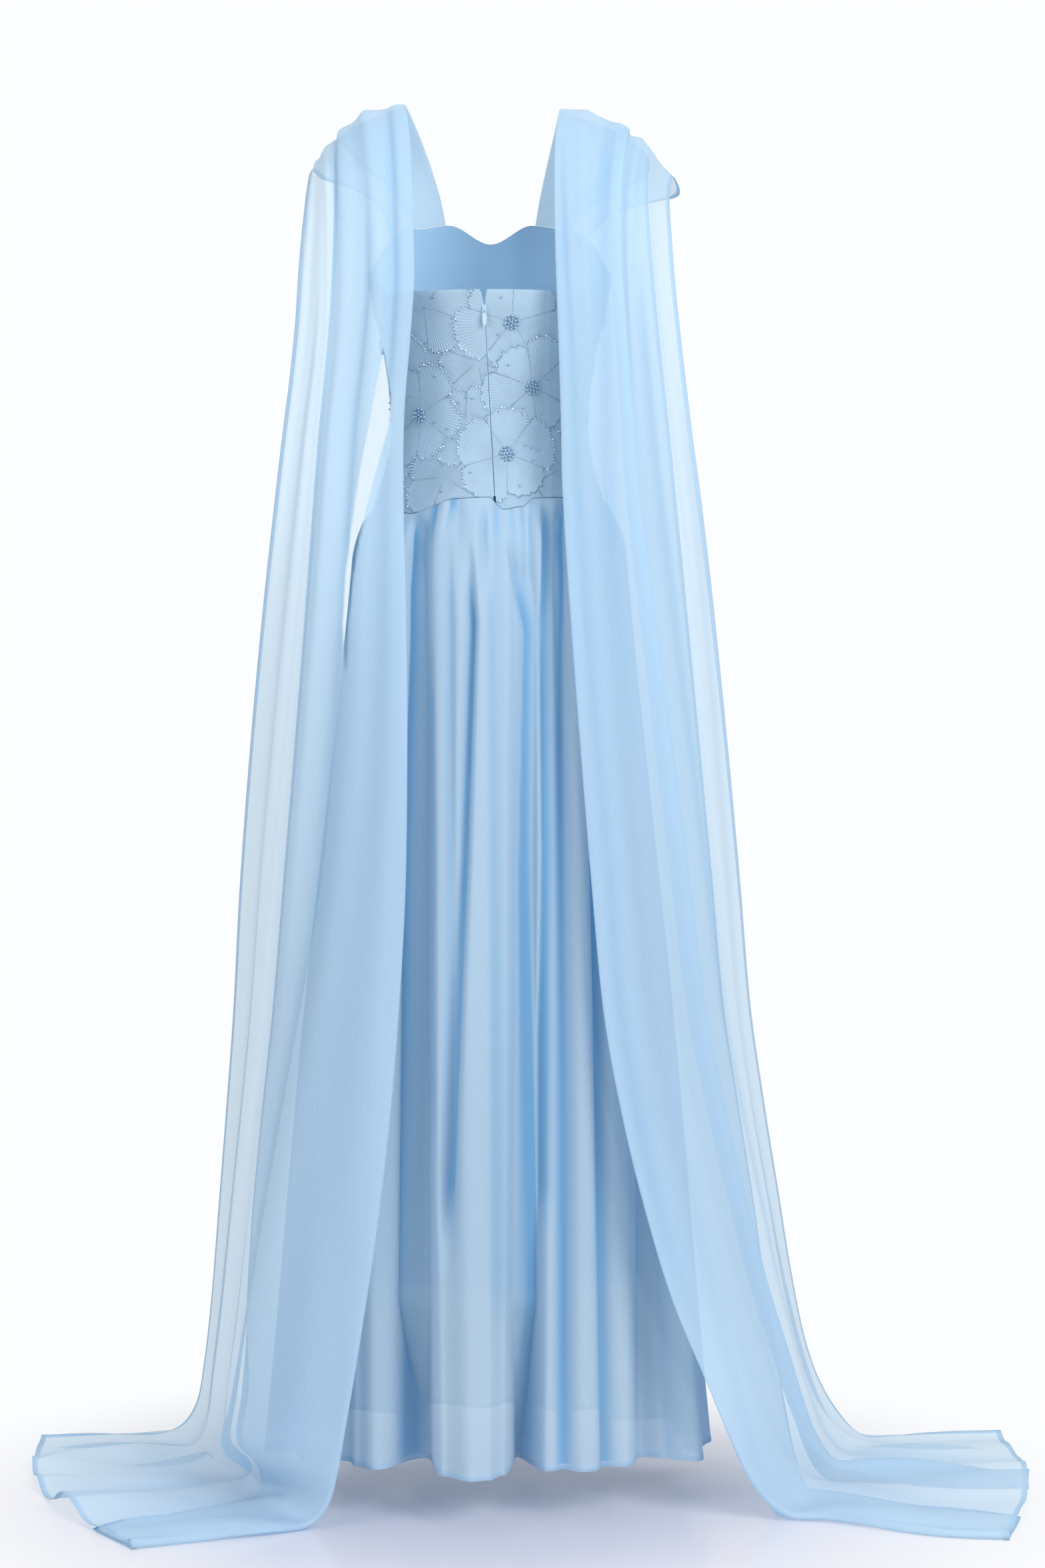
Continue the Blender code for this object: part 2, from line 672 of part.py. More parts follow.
def cape_stations(rows, sewn, under, over):
    """For each station the points across the panel, each with its fold depth as a 4th value."""
    side = 1.0 if rows[0][0] > 0 else -1.0
    mid = [(Vector(row[0:3]) + Vector(row[3:6])) / 2 for row in rows]
    first = []
    deepest = min(depth for _, depth in under)
    for share, depth in [(s * rows[0][6], d) for s, d in under] + list(over):
        angle = sewn[0] + (sewn[1] - sewn[0]) * share
        height = round_table(NECKLINE, angle) + SEAM_ROW_GAP
        out = -BODICE_WALL / 2 + CAPE_SEWN_FOLD * (depth - deepest / 2)
        spare = CAPE_SEWN_FOLD * (depth - deepest)
        first.append(Vector((*on_outline(FIGURE, height, angle, out), spare)))
    stations = [first]
    for place, row in enumerate(rows):
        inner, outer = Vector(row[0:3]), Vector(row[3:6])
        under_share, fold, bow, tail = row[6:10]
        ahead = mid[min(place + 1, len(mid) - 1)] - mid[max(place - 1, 0)]
        across = outer - inner
        ahead.normalize()
        out = across.normalized().cross(ahead) * side
        points = []
        for share, depth in [(s * under_share, d) for s, d in under] + list(over):
            arch = math.sin(math.pi * min(1.0, share))
            point = inner + across * share + out * (depth * fold + bow * arch) + ahead * tail * arch
            point.z += FLOOR
            points.append(Vector((*point, fold * (depth - deepest))))
        stations.append(points)
    return stations


def cape_grid(rows, sewn, under, over, steps):
    """Points of the whole panel, kept clear of the figure and above the floor."""
    stations = cape_stations(rows, sewn, under, over)
    columns = list(zip(*stations))
    grid = []
    for step in range(steps + 1):
        place = (len(stations) - 1) * step / steps
        row = []
        for number, column in enumerate(columns):
            value = curve_through(column, place)
            point = clear_of_figure(value.xyz, 0.006 + value.w) if step > 1 else value.xyz
            lowest = FLOOR + CAPE_WALL / 2 + 0.0002
            if number >= len(under):
                share = over[number - len(under)][0]
                under_share = curve_through([Vector((r[6], 0)) for r in rows], max(place - 1, 0)).x
                lowest += UNDER_CLEAR * max(0.0, min(1.0, (under_share + 0.2 - share) / 0.2))
            point.z = max(point.z, lowest)
            row.append(point)
        grid.append(row)
    return grid


def cape(name, rows, sewn, under, over, material):
    grid = cape_grid(rows, sewn, under, over, CAPE_STEPS)
    side = 1.0 if rows[0][0] > 0 else -1.0
    high, wide = len(grid) - 1, len(grid[0]) - 1
    outside, inside = [], []
    for i, row in enumerate(grid):
        outer_row, inner_row = [], []
        for j, point in enumerate(row):
            along = grid[min(i + 1, high)][j] - grid[max(i - 1, 0)][j]
            across = grid[i][min(j + 1, wide)] - grid[i][max(j - 1, 0)]
            out = across.cross(along).normalized() * side * CAPE_WALL / 2
            if i == 0:
                out.z = 0.0
            outer_row.append(point + out)
            inner_row.append(point - out)
        outside.append(outer_row)
        inside.append(inner_row)
    return wall(name, outside, inside, material)


def main():
    clear_scene()
    chiffon = finish_material("chiffon", CHIFFON, 0.75)
    lining_cloth = finish_material("lining", LINING_BLUE, 0.55)
    tulle = finish_material("embroidered_tulle", TULLE_BLUE, 0.60)
    pearl = finish_material("pearl_bead", PEARL_BLUE, 0.25)
    coil = finish_material("zip_coil", CHIFFON, 0.45)
    dyed_metal = finish_material("dyed_zip_metal", CHIFFON, 0.30, 0.4)

    left, right = SIDE_SEAMS
    back = fold_columns(right, left + 360.0)
    front = fold_columns(left, right)
    centre = back.index(360.0)
    drops = (0.0, 0.035, 0.10, 0.22, 0.40, 0.61, 0.83, 1.0)
    tube_panel("overskirt_back", overskirt_point, back, drops, SKIRT_WALL, chiffon)
    tube_panel("overskirt_front", overskirt_point, front, drops, SKIRT_WALL, chiffon)
    lining_drops = (0.0, 0.045, 0.15, 0.45, 1.0)
    tube_panel("lining_back", lining_point, back, lining_drops, LINING_WALL, lining_cloth)
    tube_panel("lining_front", lining_point, front, lining_drops, LINING_WALL, lining_cloth)

    bodice_panel("bodice_front", front, None, tulle)
    bodice_panel("bodice_back_left", back[centre:], 0, tulle)
    bodice_panel("bodice_back_right", back[: centre + 1], -1, tulle)

    zip_strip(coil)
    seat = zip_seat()
    zip_slider(seat, dyed_metal)
    zip_pull(seat, dyed_metal)

    cape("cape_left", CAPE_LEFT, CAPE_SEWN_LEFT, UNDER_LEFT, OVER_LEFT, chiffon)
    cape("cape_right", CAPE_RIGHT, CAPE_SEWN_RIGHT, UNDER_RIGHT, OVER_RIGHT, chiffon)
    for number, (angle, height) in enumerate(BEAD_CLUSTERS, 1):
        bead_cluster(f"bead_cluster_{number:02d}", angle, height, pearl)


main()
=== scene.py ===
"""Looks for the embroidered maxi dress: chiffon, lining, embroidered bodice, beads, zip and stage.

Metres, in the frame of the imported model: +Z up, front to -Y, back to +Y, wearer's left to +X,
origin at the waist 1.18 m above the floor. Heights in the tables are above the floor.
"""

import math

import bmesh
import bpy
import numpy as np
from bpy.props import FloatProperty, FloatVectorProperty, PointerProperty
from mathutils import Matrix, Vector


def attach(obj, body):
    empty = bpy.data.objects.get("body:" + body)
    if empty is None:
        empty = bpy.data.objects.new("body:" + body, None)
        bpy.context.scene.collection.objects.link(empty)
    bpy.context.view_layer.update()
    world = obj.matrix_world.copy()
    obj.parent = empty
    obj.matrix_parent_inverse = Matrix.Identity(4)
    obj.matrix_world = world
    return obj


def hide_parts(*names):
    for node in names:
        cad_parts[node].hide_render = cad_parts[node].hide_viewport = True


bl_info = {
    "name": "Embroidered maxi dress",
    "version": (1, 0, 0),
    "blender": (4, 5, 0),
    "location": "View3D > Sidebar > Dress",
    "description": "Builds the cloth, embroidery, beads, zip and stage of the dress",
    "category": "Add Mesh",
}

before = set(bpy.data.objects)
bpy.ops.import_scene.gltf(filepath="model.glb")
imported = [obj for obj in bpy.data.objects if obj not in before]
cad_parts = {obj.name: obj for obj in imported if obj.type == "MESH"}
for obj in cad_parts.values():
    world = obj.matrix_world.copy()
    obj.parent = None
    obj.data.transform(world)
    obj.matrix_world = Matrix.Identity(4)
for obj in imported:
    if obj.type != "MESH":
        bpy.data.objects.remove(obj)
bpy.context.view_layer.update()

HELD_AT = 1.18
FLOOR = -HELD_AT

# Heights above the floor, walls and clearances, as in the CAD source
HEM = 0.055
LINING_HEM = 0.243
WAIST = 1.086
BODICE_WALL = 0.0020
SKIRT_WALL = 0.0012
CAPE_WALL = 0.0012
SEAM_ROW_GAP = 0.0005
LINING_CLEAR = 0.006

FIGURE = (
    # height, half_width, back, front
    (1.060, 0.1340, 0.1060, 0.1000),
    (1.086, 0.1270, 0.0990, 0.0970),
    (1.120, 0.1160, 0.0920, 0.0920),
    (1.170, 0.1075, 0.0840, 0.0860),
    (1.250, 0.1150, 0.0920, 0.0980),
    (1.317, 0.1300, 0.1000, 0.1160),
    (1.380, 0.1360, 0.1000, 0.1220),
    (1.430, 0.1340, 0.0960, 0.1120),
)
SKIRT = (
    # height, half_width, back, front
    (0.055, 0.2380, 0.1330, 0.2120),
    (0.300, 0.2150, 0.1300, 0.1800),
    (0.550, 0.1900, 0.1280, 0.1450),
    (0.800, 0.1640, 0.1260, 0.1180),
    (0.960, 0.1480, 0.1220, 0.1080),
    (1.050, 0.1380, 0.1100, 0.1040),
    (1.086, 0.1266, 0.0986, 0.0966),
    (1.100, 0.1218, 0.0958, 0.0946),
)
LINING = (
    # height, half_width, back, front
    (0.243, 0.1650, 0.1000, 0.1250),
    (0.700, 0.1490, 0.1060, 0.1060),
    (0.960, 0.1385, 0.1090, 0.0990),
    (1.050, 0.1310, 0.1020, 0.0965),
    (1.086, 0.1246, 0.0966, 0.0946),
    (1.100, 0.1198, 0.0938, 0.0926),
)

# Folds of the overskirt at the hem, from the centre back towards the wearer's left
FOLDS = (
    # angle in degrees, way out from the mean outline
    (0.0, 0.034),
    (4.0, 0.040),
    (11.0, 0.018),
    (19.0, -0.055),
    (31.0, 0.004),
    (43.0, -0.022),
    (56.0, 0.006),
    (68.0, -0.025),
    (80.0, 0.012),
    (90.0, -0.004),
    (101.0, -0.022),
    (113.0, 0.018),
    (126.0, -0.026),
    (140.0, 0.022),
    (152.0, -0.030),
    (164.0, 0.010),
    (177.0, -0.024),
    (189.0, 0.014),
    (201.0, -0.026),
    (213.0, 0.006),
    (224.0, -0.030),
    (237.0, 0.026),
    (252.0, -0.022),
    (264.0, 0.008),
    (270.0, -0.002),
    (280.0, -0.024),
    (297.0, 0.022),
    (310.0, -0.034),
    (322.0, 0.000),
    (338.0, 0.010),
    (345.0, 0.004),
    (351.5, -0.058),
    (356.5, 0.012),
)
FOLD_SPREAD = 0.375

WAIST_SEAM = (
    # angle, height
    (0.0, 1.094),
    (15.0, 1.093),
    (41.0, 1.077),
    (66.0, 1.093),
    (92.0, 1.079),
    (118.0, 1.093),
    (145.0, 1.079),
    (170.0, 1.093),
    (195.0, 1.079),
    (222.0, 1.093),
    (250.0, 1.079),
    (275.0, 1.092),
    (298.0, 1.080),
    (318.0, 1.0945),
    (337.0, 1.0935),
    (344.0, 1.084),
    (353.0, 1.081),
)
NECKLINE = (
    # angle, height
    (0.0, 1.317),
    (50.0, 1.317),
    (95.0, 1.345),
    (140.0, 1.402),
    (160.0, 1.408),
    (180.0, 1.388),
    (200.0, 1.408),
    (220.0, 1.402),
    (265.0, 1.345),
    (310.0, 1.317),
)

ZIP_TOP_X = 0.005
ZIP_FOOT_X = -0.006
ZIP_TOP = 1.300
ZIP_FOOT = 1.0945
ZIP_GAP = 0.0019
NOTCH_HALF_WIDTH = 0.0062
# The cloth shown covers a little of the CAD's slot and notch, as the photo's are narrower
SLOT_COVERED = 0.0006
NOTCH_SHOWN = 0.6
NOTCH_FOOT = 0.005
NOTCH_RISE = 0.012

CAPE_LEFT = (
    # in_x, in_y, in_z, out_x, out_y, out_z, under, fold, bow, tail
    (0.060, -0.104, 1.450, 0.132, -0.080, 1.436, 0.62, 0.004, 0.004, 0.0),
    (0.078, -0.064, 1.500, 0.180, -0.058, 1.450, 0.64, 0.005, 0.012, 0.0),
    (0.094, -0.010, 1.531, 0.1975, -0.020, 1.458, 0.66, 0.005, 0.018, 0.0),
    (0.088, 0.045, 1.500, 0.200, 0.030, 1.424, 0.68, 0.006, 0.018, 0.0),
    (0.084, 0.085, 1.445, 0.2025, 0.062, 1.385, 0.70, 0.007, 0.012, 0.0),
    (0.081, 0.112, 1.370, 0.206, 0.080, 1.330, 0.71, 0.008, 0.008, 0.0),
    (0.081, 0.124, 1.300, 0.2105, 0.088, 1.256, 0.72, 0.009, 0.006, 0.0),
    (0.090, 0.130, 1.197, 0.2213, 0.085, 1.170, 0.72, 0.010, 0.004, 0.0),
    (0.0916, 0.136, 1.080, 0.235, 0.070, 1.060, 0.72, 0.011, 0.004, 0.0),
    (0.0885, 0.146, 0.910, 0.255, 0.020, 0.900, 0.72, 0.012, 0.010, 0.0),
    (0.090, 0.150, 0.700, 0.276, -0.040, 0.690, 0.72, 0.013, 0.020, 0.0),
    (0.100, 0.154, 0.520, 0.290, -0.090, 0.500, 0.72, 0.013, 0.028, 0.0),
    (0.116, 0.158, 0.360, 0.306, -0.140, 0.340, 0.71, 0.013, 0.034, 0.0),
    (0.138, 0.164, 0.210, 0.321, -0.190, 0.190, 0.64, 0.013, 0.036, 0.0),
    (0.157, 0.168, 0.100, 0.336, -0.230, 0.085, 0.52, 0.013, 0.034, 0.0),
    (0.172, 0.162, 0.038, 0.352, -0.250, 0.030, 0.42, 0.013, 0.026, 0.0),
    (0.196, 0.158, 0.008, 0.388, -0.268, 0.008, 0.34, 0.012, 0.010, 0.004),
    (0.244, 0.186, 0.004, 0.440, -0.275, 0.004, 0.28, 0.012, 0.004, 0.014),
    (0.310, 0.210, 0.004, 0.490, -0.270, 0.004, 0.22, 0.012, 0.002, 0.030),
    (0.372, 0.232, 0.004, 0.528, -0.264, 0.004, 0.16, 0.011, 0.000, 0.046),
)
CAPE_RIGHT = (
    # in_x, in_y, in_z, out_x, out_y, out_z, under, fold, bow, tail
    (-0.058, -0.104, 1.448, -0.148, -0.084, 1.426, 0.66, 0.004, 0.004, 0.0),
    (-0.070, -0.064, 1.497, -0.207, -0.068, 1.432, 0.72, 0.005, 0.014, 0.0),
    (-0.078, -0.010, 1.526, -0.203, -0.022, 1.452, 0.76, 0.005, 0.018, 0.0),
    (-0.073, 0.045, 1.495, -0.196, 0.030, 1.424, 0.80, 0.006, 0.018, 0.0),
    (-0.071, 0.085, 1.437, -0.197, 0.060, 1.385, 0.82, 0.007, 0.012, 0.0),
    (-0.072, 0.112, 1.350, -0.200, 0.078, 1.330, 0.84, 0.008, 0.008, 0.0),
    (-0.0745, 0.124, 1.283, -0.2075, 0.084, 1.256, 0.85, 0.010, 0.006, 0.0),
    (-0.0774, 0.130, 1.197, -0.218, 0.078, 1.170, 0.86, 0.011, 0.004, 0.0),
    (-0.081, 0.136, 1.080, -0.232, 0.062, 1.070, 0.86, 0.012, 0.004, 0.0),
    (-0.0935, 0.146, 0.910, -0.253, 0.016, 0.900, 0.86, 0.013, 0.010, 0.0),
    (-0.1107, 0.150, 0.700, -0.275, -0.030, 0.690, 0.86, 0.014, 0.018, 0.0),
    (-0.129, 0.154, 0.520, -0.2927, -0.070, 0.510, 0.85, 0.014, 0.024, 0.0),
    (-0.160, 0.156, 0.375, -0.318, -0.110, 0.360, 0.83, 0.014, 0.028, 0.0),
    (-0.196, 0.150, 0.250, -0.340, -0.150, 0.230, 0.74, 0.014, 0.030, 0.0),
    (-0.242, 0.140, 0.140, -0.365, -0.190, 0.120, 0.60, 0.014, 0.028, 0.0),
    (-0.276, 0.130, 0.066, -0.396, -0.220, 0.050, 0.48, 0.014, 0.020, 0.0),
    (-0.318, 0.118, 0.012, -0.432, -0.252, 0.010, 0.38, 0.013, 0.010, 0.004),
    (-0.378, 0.130, 0.004, -0.480, -0.270, 0.004, 0.30, 0.012, 0.004, 0.010),
    (-0.450, 0.178, 0.004, -0.546, -0.284, 0.004, 0.24, 0.012, 0.002, 0.018),
    (-0.546, 0.194, 0.004, -0.600, -0.290, 0.004, 0.18, 0.010, 0.000, 0.026),
)
CAPE_SEWN_LEFT = (158.0, 126.0)
CAPE_SEWN_RIGHT = (202.0, 234.0)
CAPE_SEWN_FOLD = 0.003
# Cross-section of a cape panel: share of the width, way out in fold depths
UNDER_LEFT = ((1.00, -1.10), (0.76, -0.85), (0.48, -1.25), (0.24, -1.00), (0.06, -0.75))
OVER_LEFT = (
    (0.00, -0.15),
    (0.07, 0.35),
    (0.19, 0.10),
    (0.33, 0.55),
    (0.46, -0.10),
    (0.58, 0.35),
    (0.69, -0.25),
    (0.78, 0.30),
    (0.89, -0.15),
    (1.00, 0.05),
)
UNDER_RIGHT = ((1.00, -1.35), (0.76, -1.20), (0.48, -1.50), (0.24, -1.25), (0.06, -0.80))
OVER_RIGHT = (
    (0.00, -0.15),
    (0.10, 0.35),
    (0.28, 0.15),
    (0.46, 0.60),
    (0.53, 0.40),
    (0.45, -0.30),
    (0.56, -0.50),
    (0.72, 0.15),
    (0.85, -0.30),
    (1.00, 0.05),
)
CAPE_STEPS = 27
UNDER_CLEAR = 0.0030

# Soft creases along the cape panels: place across in columns of the cross-section,
# half width in columns, way out, and the stations where they begin and end
CAPE_CREASES_LEFT = (
    # column, half_width, out, start, end
    (6.6, 0.30, -0.0040, 3.0, 12.0),
    (7.7, 0.40, 0.0035, 2.0, 27.0),
    (8.6, 0.28, -0.0045, 6.0, 27.0),
    (9.7, 0.35, 0.0040, 9.0, 27.0),
    (10.5, 0.22, -0.0040, 1.5, 9.0),
    (11.4, 0.30, 0.0035, 4.0, 22.0),
    (12.5, 0.25, -0.0035, 8.0, 27.0),
    (13.3, 0.22, 0.0030, 2.0, 14.0),
    (1.5, 0.40, 0.0040, 8.0, 27.0),
    (2.6, 0.30, -0.0035, 10.0, 27.0),
)
CAPE_CREASES_RIGHT = (
    # column, half_width, out, start, end
    (5.7, 0.25, -0.0035, 5.0, 20.0),
    (6.5, 0.35, 0.0040, 2.0, 27.0),
    (7.3, 0.25, -0.0040, 3.0, 15.0),
    (11.3, 0.28, 0.0045, 2.0, 12.0),
    (11.9, 0.26, -0.0040, 7.0, 27.0),
    (12.7, 0.30, 0.0035, 5.0, 24.0),
    (13.4, 0.20, -0.0030, 9.0, 27.0),
    (1.6, 0.35, 0.0040, 9.0, 27.0),
    (2.7, 0.30, -0.0040, 8.0, 27.0),
)

# Creases of the overskirt's back, as troughs: x at four shares of the drop, the half width
# towards -X and towards +X, depth, and the shares where they begin and end
CREASE_SHARES = (0.0, 0.13, 0.37, 1.0)
BACK_CREASES = (
    # x0, x1, x2, x3, minus, plus, depth, start, end
    (0.080, 0.083, 0.094, 0.100, 0.012, 0.004, 0.018, 0.00, 1.00),
    (0.066, 0.062, 0.058, 0.060, 0.003, 0.010, 0.005, 0.12, 0.70),
    (0.022, 0.0145, 0.022, 0.050, 0.0028, 0.007, 0.016, 0.03, 0.80),
    (-0.012, -0.038, -0.033, -0.035, 0.016, 0.0018, 0.018, 0.015, 1.00),
    (-0.059, -0.058, -0.060, -0.052, 0.012, 0.0025, 0.012, 0.00, 0.80),
    (-0.077, -0.078, -0.080, -0.082, 0.006, 0.006, 0.018, 0.00, 1.00),
    (0.044, 0.039, 0.037, 0.036, 0.004, 0.010, 0.005, 0.02, 0.80),
    (-0.002, -0.004, -0.006, -0.010, 0.010, 0.005, 0.005, 0.03, 0.90),
    (0.006, 0.004, 0.004, 0.006, 0.004, 0.004, 0.006, 0.00, 0.13),
    (-0.044, -0.046, -0.048, -0.050, 0.003, 0.003, 0.005, 0.00, 0.16),
    (-0.100, -0.104, -0.110, -0.125, 0.008, 0.004, 0.014, 0.00, 1.00),
)
# Softer folds all round, between the main ones: hem angle, half width, out, start, end
SIDE_CREASES = (
    # angle, half_width, out, start, end
    (37.0, 2.2, 0.007, 0.10, 1.00),
    (49.0, 1.8, -0.008, 0.00, 0.90),
    (62.0, 2.4, 0.006, 0.20, 1.00),
    (74.0, 1.7, -0.008, 0.00, 1.00),
    (85.0, 1.6, 0.005, 0.00, 0.60),
    (96.0, 2.0, -0.008, 0.05, 1.00),
    (107.0, 1.8, 0.006, 0.00, 1.00),
    (119.5, 2.1, -0.007, 0.10, 0.90),
    (133.0, 1.9, 0.006, 0.00, 0.80),
    (146.0, 2.2, -0.007, 0.00, 1.00),
    (158.0, 1.6, 0.006, 0.20, 1.00),
    (170.5, 2.0, -0.007, 0.00, 0.70),
    (183.0, 1.9, 0.006, 0.05, 1.00),
    (195.0, 2.3, -0.007, 0.00, 1.00),
    (207.0, 1.7, 0.006, 0.00, 0.90),
    (218.5, 2.0, -0.007, 0.15, 1.00),
    (231.0, 1.8, 0.006, 0.00, 0.60),
    (244.0, 2.2, -0.007, 0.00, 1.00),
    (258.0, 1.9, 0.006, 0.10, 1.00),
    (275.0, 1.7, -0.007, 0.00, 0.90),
    (288.0, 2.1, 0.006, 0.00, 1.00),
    (304.0, 1.8, -0.006, 0.05, 1.00),
    (316.0, 1.8, 0.005, 0.10, 0.90),
)

# Hearts of the flowers that hold a cluster of beads, as in the CAD source
BEAD_CLUSTERS = (
    # angle, height
    (-11.5, 1.282),
    (-25.0, 1.213),
    (-10.0, 1.141),
    (44.0, 1.184),
    (84.0, 1.262),
    (-72.0, 1.185),
    (-100.0, 1.290),
    (128.0, 1.190),
    (152.0, 1.320),
    (186.0, 1.240),
    (212.0, 1.330),
    (228.0, 1.180),
)

# Embroidered flowers that have no bead heart, sewn on before those that have one
PLAIN_FLOWERS = (
    # angle, height, radius, petals
    (24.0, 1.116, 0.044, 6),
    (-44.0, 1.128, 0.042, 7),
    (6.0, 1.240, 0.043, 7),
    (33.0, 1.300, 0.045, 6),
    (-48.0, 1.290, 0.045, 7),
    (58.0, 1.238, 0.044, 6),
    (70.0, 1.125, 0.042, 7),
    (95.0, 1.180, 0.043, 6),
    (108.0, 1.300, 0.046, 7),
    (110.0, 1.120, 0.042, 6),
    (130.0, 1.262, 0.044, 7),
    (128.0, 1.375, 0.044, 6),
    (150.0, 1.125, 0.043, 7),
    (160.0, 1.215, 0.044, 6),
    (176.0, 1.350, 0.045, 7),
    (182.0, 1.140, 0.042, 6),
    (206.0, 1.205, 0.044, 7),
    (208.0, 1.115, 0.041, 6),
    (232.0, 1.265, 0.045, 7),
    (236.0, 1.370, 0.043, 6),
    (255.0, 1.205, 0.044, 7),
    (246.0, 1.110, 0.041, 6),
    (268.0, 1.290, 0.045, 6),
    (-78.0, 1.110, 0.041, 7),
    (-62.0, 1.235, 0.044, 6),
    (14.0, 1.170, 0.041, 7),
)
HEART_FLOWER_RADIUS = 0.054
ARC_RADIUS = 0.112

# The narrow opening in the left cape panel, beside the arm: height, x of its middle, half width
OPENING_HEIGHTS = (0.905, 0.960, 1.010, 1.045, 1.080, 1.120, 1.165, 1.200, 1.250)
OPENING_MIDDLE = (0.1530, 0.1535, 0.1492, 0.1442, 0.1380, 0.1297, 0.1185, 0.1135, 0.1130)
OPENING_HALF_WIDTH = (0.0000, 0.0030, 0.0042, 0.0048, 0.0062, 0.0085, 0.0108, 0.0090, 0.0000)


# The stage: floor, lamps as shares of the fill light's power, and the camera of the photo
FLOOR_RADIUS = 9.0
# The floor and its painted shadow and reflection fade out into the background between these
# distances from the middle
FLOOR_FADE = (0.20, 0.72)
FILL_SHARE = 2.0
SPARK_SHARE = 0.6
CAMERA_PLACE = (-0.036, 4.0, 0.95)
LENS = 83.5
SENSOR_WIDTH = 36.0
LENS_SHIFT = -0.0974


class DressSizes(bpy.types.PropertyGroup):
    """Sizes of the cloth's folds and of the embroidery."""

    fold_depth: FloatProperty(
        name="Fold depth", description="Scale of the overskirt's creases", default=1.0, min=0.0
    )
    gather_depth: FloatProperty(
        name="Gather depth",
        description="How far the gathers below the waist seam stand out",
        default=0.0085,
        unit="LENGTH",
    )
    hem_band: FloatProperty(
        name="Hem band",
        description="Depth of the narrow turned hems",
        default=0.006,
        unit="LENGTH",
    )
    petal_edge: FloatProperty(
        name="Petal edge",
        description="How far the edge of an embroidered petal stands out",
        default=0.0007,
        unit="LENGTH",
    )
    seed_spacing: FloatProperty(
        name="Seed bead spacing",
        description="Distance from one seed bead to the next along a petal's edge",
        default=0.0034,
        unit="LENGTH",
    )
    seed_radius: FloatProperty(
        name="Seed bead radius",
        description="Radius of a seed bead",
        default=0.00080,
        unit="LENGTH",
    )
    pearl_radius: FloatProperty(
        name="Pearl radius", description="Radius of a pearl", default=0.00150, unit="LENGTH"
    )


def colour_property(name, description, default):
    return FloatVectorProperty(
        name=name,
        description=description,
        default=default,
        subtype="COLOR",
        size=3,
        min=0.0,
        max=1.0,
    )


class DressColours(bpy.types.PropertyGroup):
    """Colours of the cloth, beads and zip."""

    chiffon: colour_property("Chiffon", "Colour of the chiffon's threads", (0.525, 0.675, 0.79))
    chiffon_tint: colour_property(
        "Chiffon tint", "Colour of light that passes the chiffon", (0.89, 0.955, 1.0)
    )
    # The overskirt's and capes' creases are blended to this colour: painted shade, with some of the
    # deeper blue of chiffon lying in layers
    chiffon_crease_shade: colour_property(
        "Chiffon in creases", "Colour in the deep creases of the overskirt", (0.19, 0.43, 0.68)
    )
    lining: colour_property("Lining", "Colour of the lining", (0.36, 0.565, 0.76))
    tulle: colour_property("Tulle", "Colour of the bodice's tulle", (0.32, 0.445, 0.56))
    # The bodice is blended to this colour by its shade value: painted shade in the petals' clefts
    # and along their rims, a painted shadow just outside each petal's edge, and darker tulle
    # between the petals and towards their hearts
    tulle_shade: colour_property(
        "Tulle in creases", "Colour of the bodice between petals", (0.17, 0.30, 0.45)
    )
    pearl: colour_property("Pearl", "Colour of the pearls", (0.24, 0.41, 0.58))
    # White-silver seed beads, their colour lightened further as a painted highlight
    seed: colour_property("Seed beads", "Colour of the seed beads", (0.80, 0.88, 0.96))
    zip_metal: colour_property("Zip metal", "Colour of the slider and pull", (0.44, 0.64, 0.82))


class DressStage(bpy.types.PropertyGroup):
    """Floor, background and light."""

    # The floor's lavender is painted shadow and reflection of the dress
    floor: colour_property("Floor", "Colour of the studio floor", (0.66, 0.665, 0.77))
    background: FloatProperty(
        name="Background", description="Brightness of the background", default=1.0, min=0.0
    )
    sky_light: FloatProperty(
        name="Sky light", description="Strength of the even light", default=0.62, min=0.0
    )
    key_power: FloatProperty(
        name="Key light", description="Power of the large lamp", default=150.0, unit="POWER"
    )
    fill_power: FloatProperty(
        name="Fill light", description="Power of the second lamp", default=30.0, unit="POWER"
    )


# Outlines and folds, worked out for whole arrays of points


def table_at(rows, height):
    """Values of a table at heights, on smooth curves through its rows, one column each."""
    rows = np.array(rows)
    keys, values = rows[:, 0], rows[:, 1:]
    last = len(rows) - 1
    place = np.clip(np.searchsorted(keys[1:], height), 0, last - 1)
    before, after = np.maximum(place - 1, 0), np.minimum(place + 2, last)
    span = (keys[place + 1] - keys[place])[..., None]
    t = (height - keys[place])[..., None] / span
    low, high = values[place], values[place + 1]
    rise_low = (high - values[before]) / (keys[place + 1] - keys[before])[..., None] * span
    rise_high = (values[after] - low) / (keys[after] - keys[place])[..., None] * span
    found = (
        low * (2 * t**3 - 3 * t**2 + 1)
        + rise_low * (t**3 - 2 * t**2 + t)
        + high * (3 * t**2 - 2 * t**3)
        + rise_high * (t**3 - t**2)
    )
    return [found[..., column] for column in range(found.shape[-1])]


def ease(t):
    """A smooth step from 0 to 1."""
    t = np.clip(t, 0.0, 1.0)
    return t * t * (3 - 2 * t)


def round_table(rows, angle):
    """Value of a closed table at angles, easing from one row to the next."""
    angle = np.mod(angle, 360.0)
    keys = np.array([row[0] for row in rows] + [rows[0][0] + 360.0])
    values = np.array([row[1] for row in rows] + [rows[0][1]])
    place = np.clip(np.searchsorted(keys, angle, side="right") - 1, 0, len(rows) - 1)
    t = ease((angle - keys[place]) / (keys[place + 1] - keys[place]))
    return values[place] + (values[place + 1] - values[place]) * t


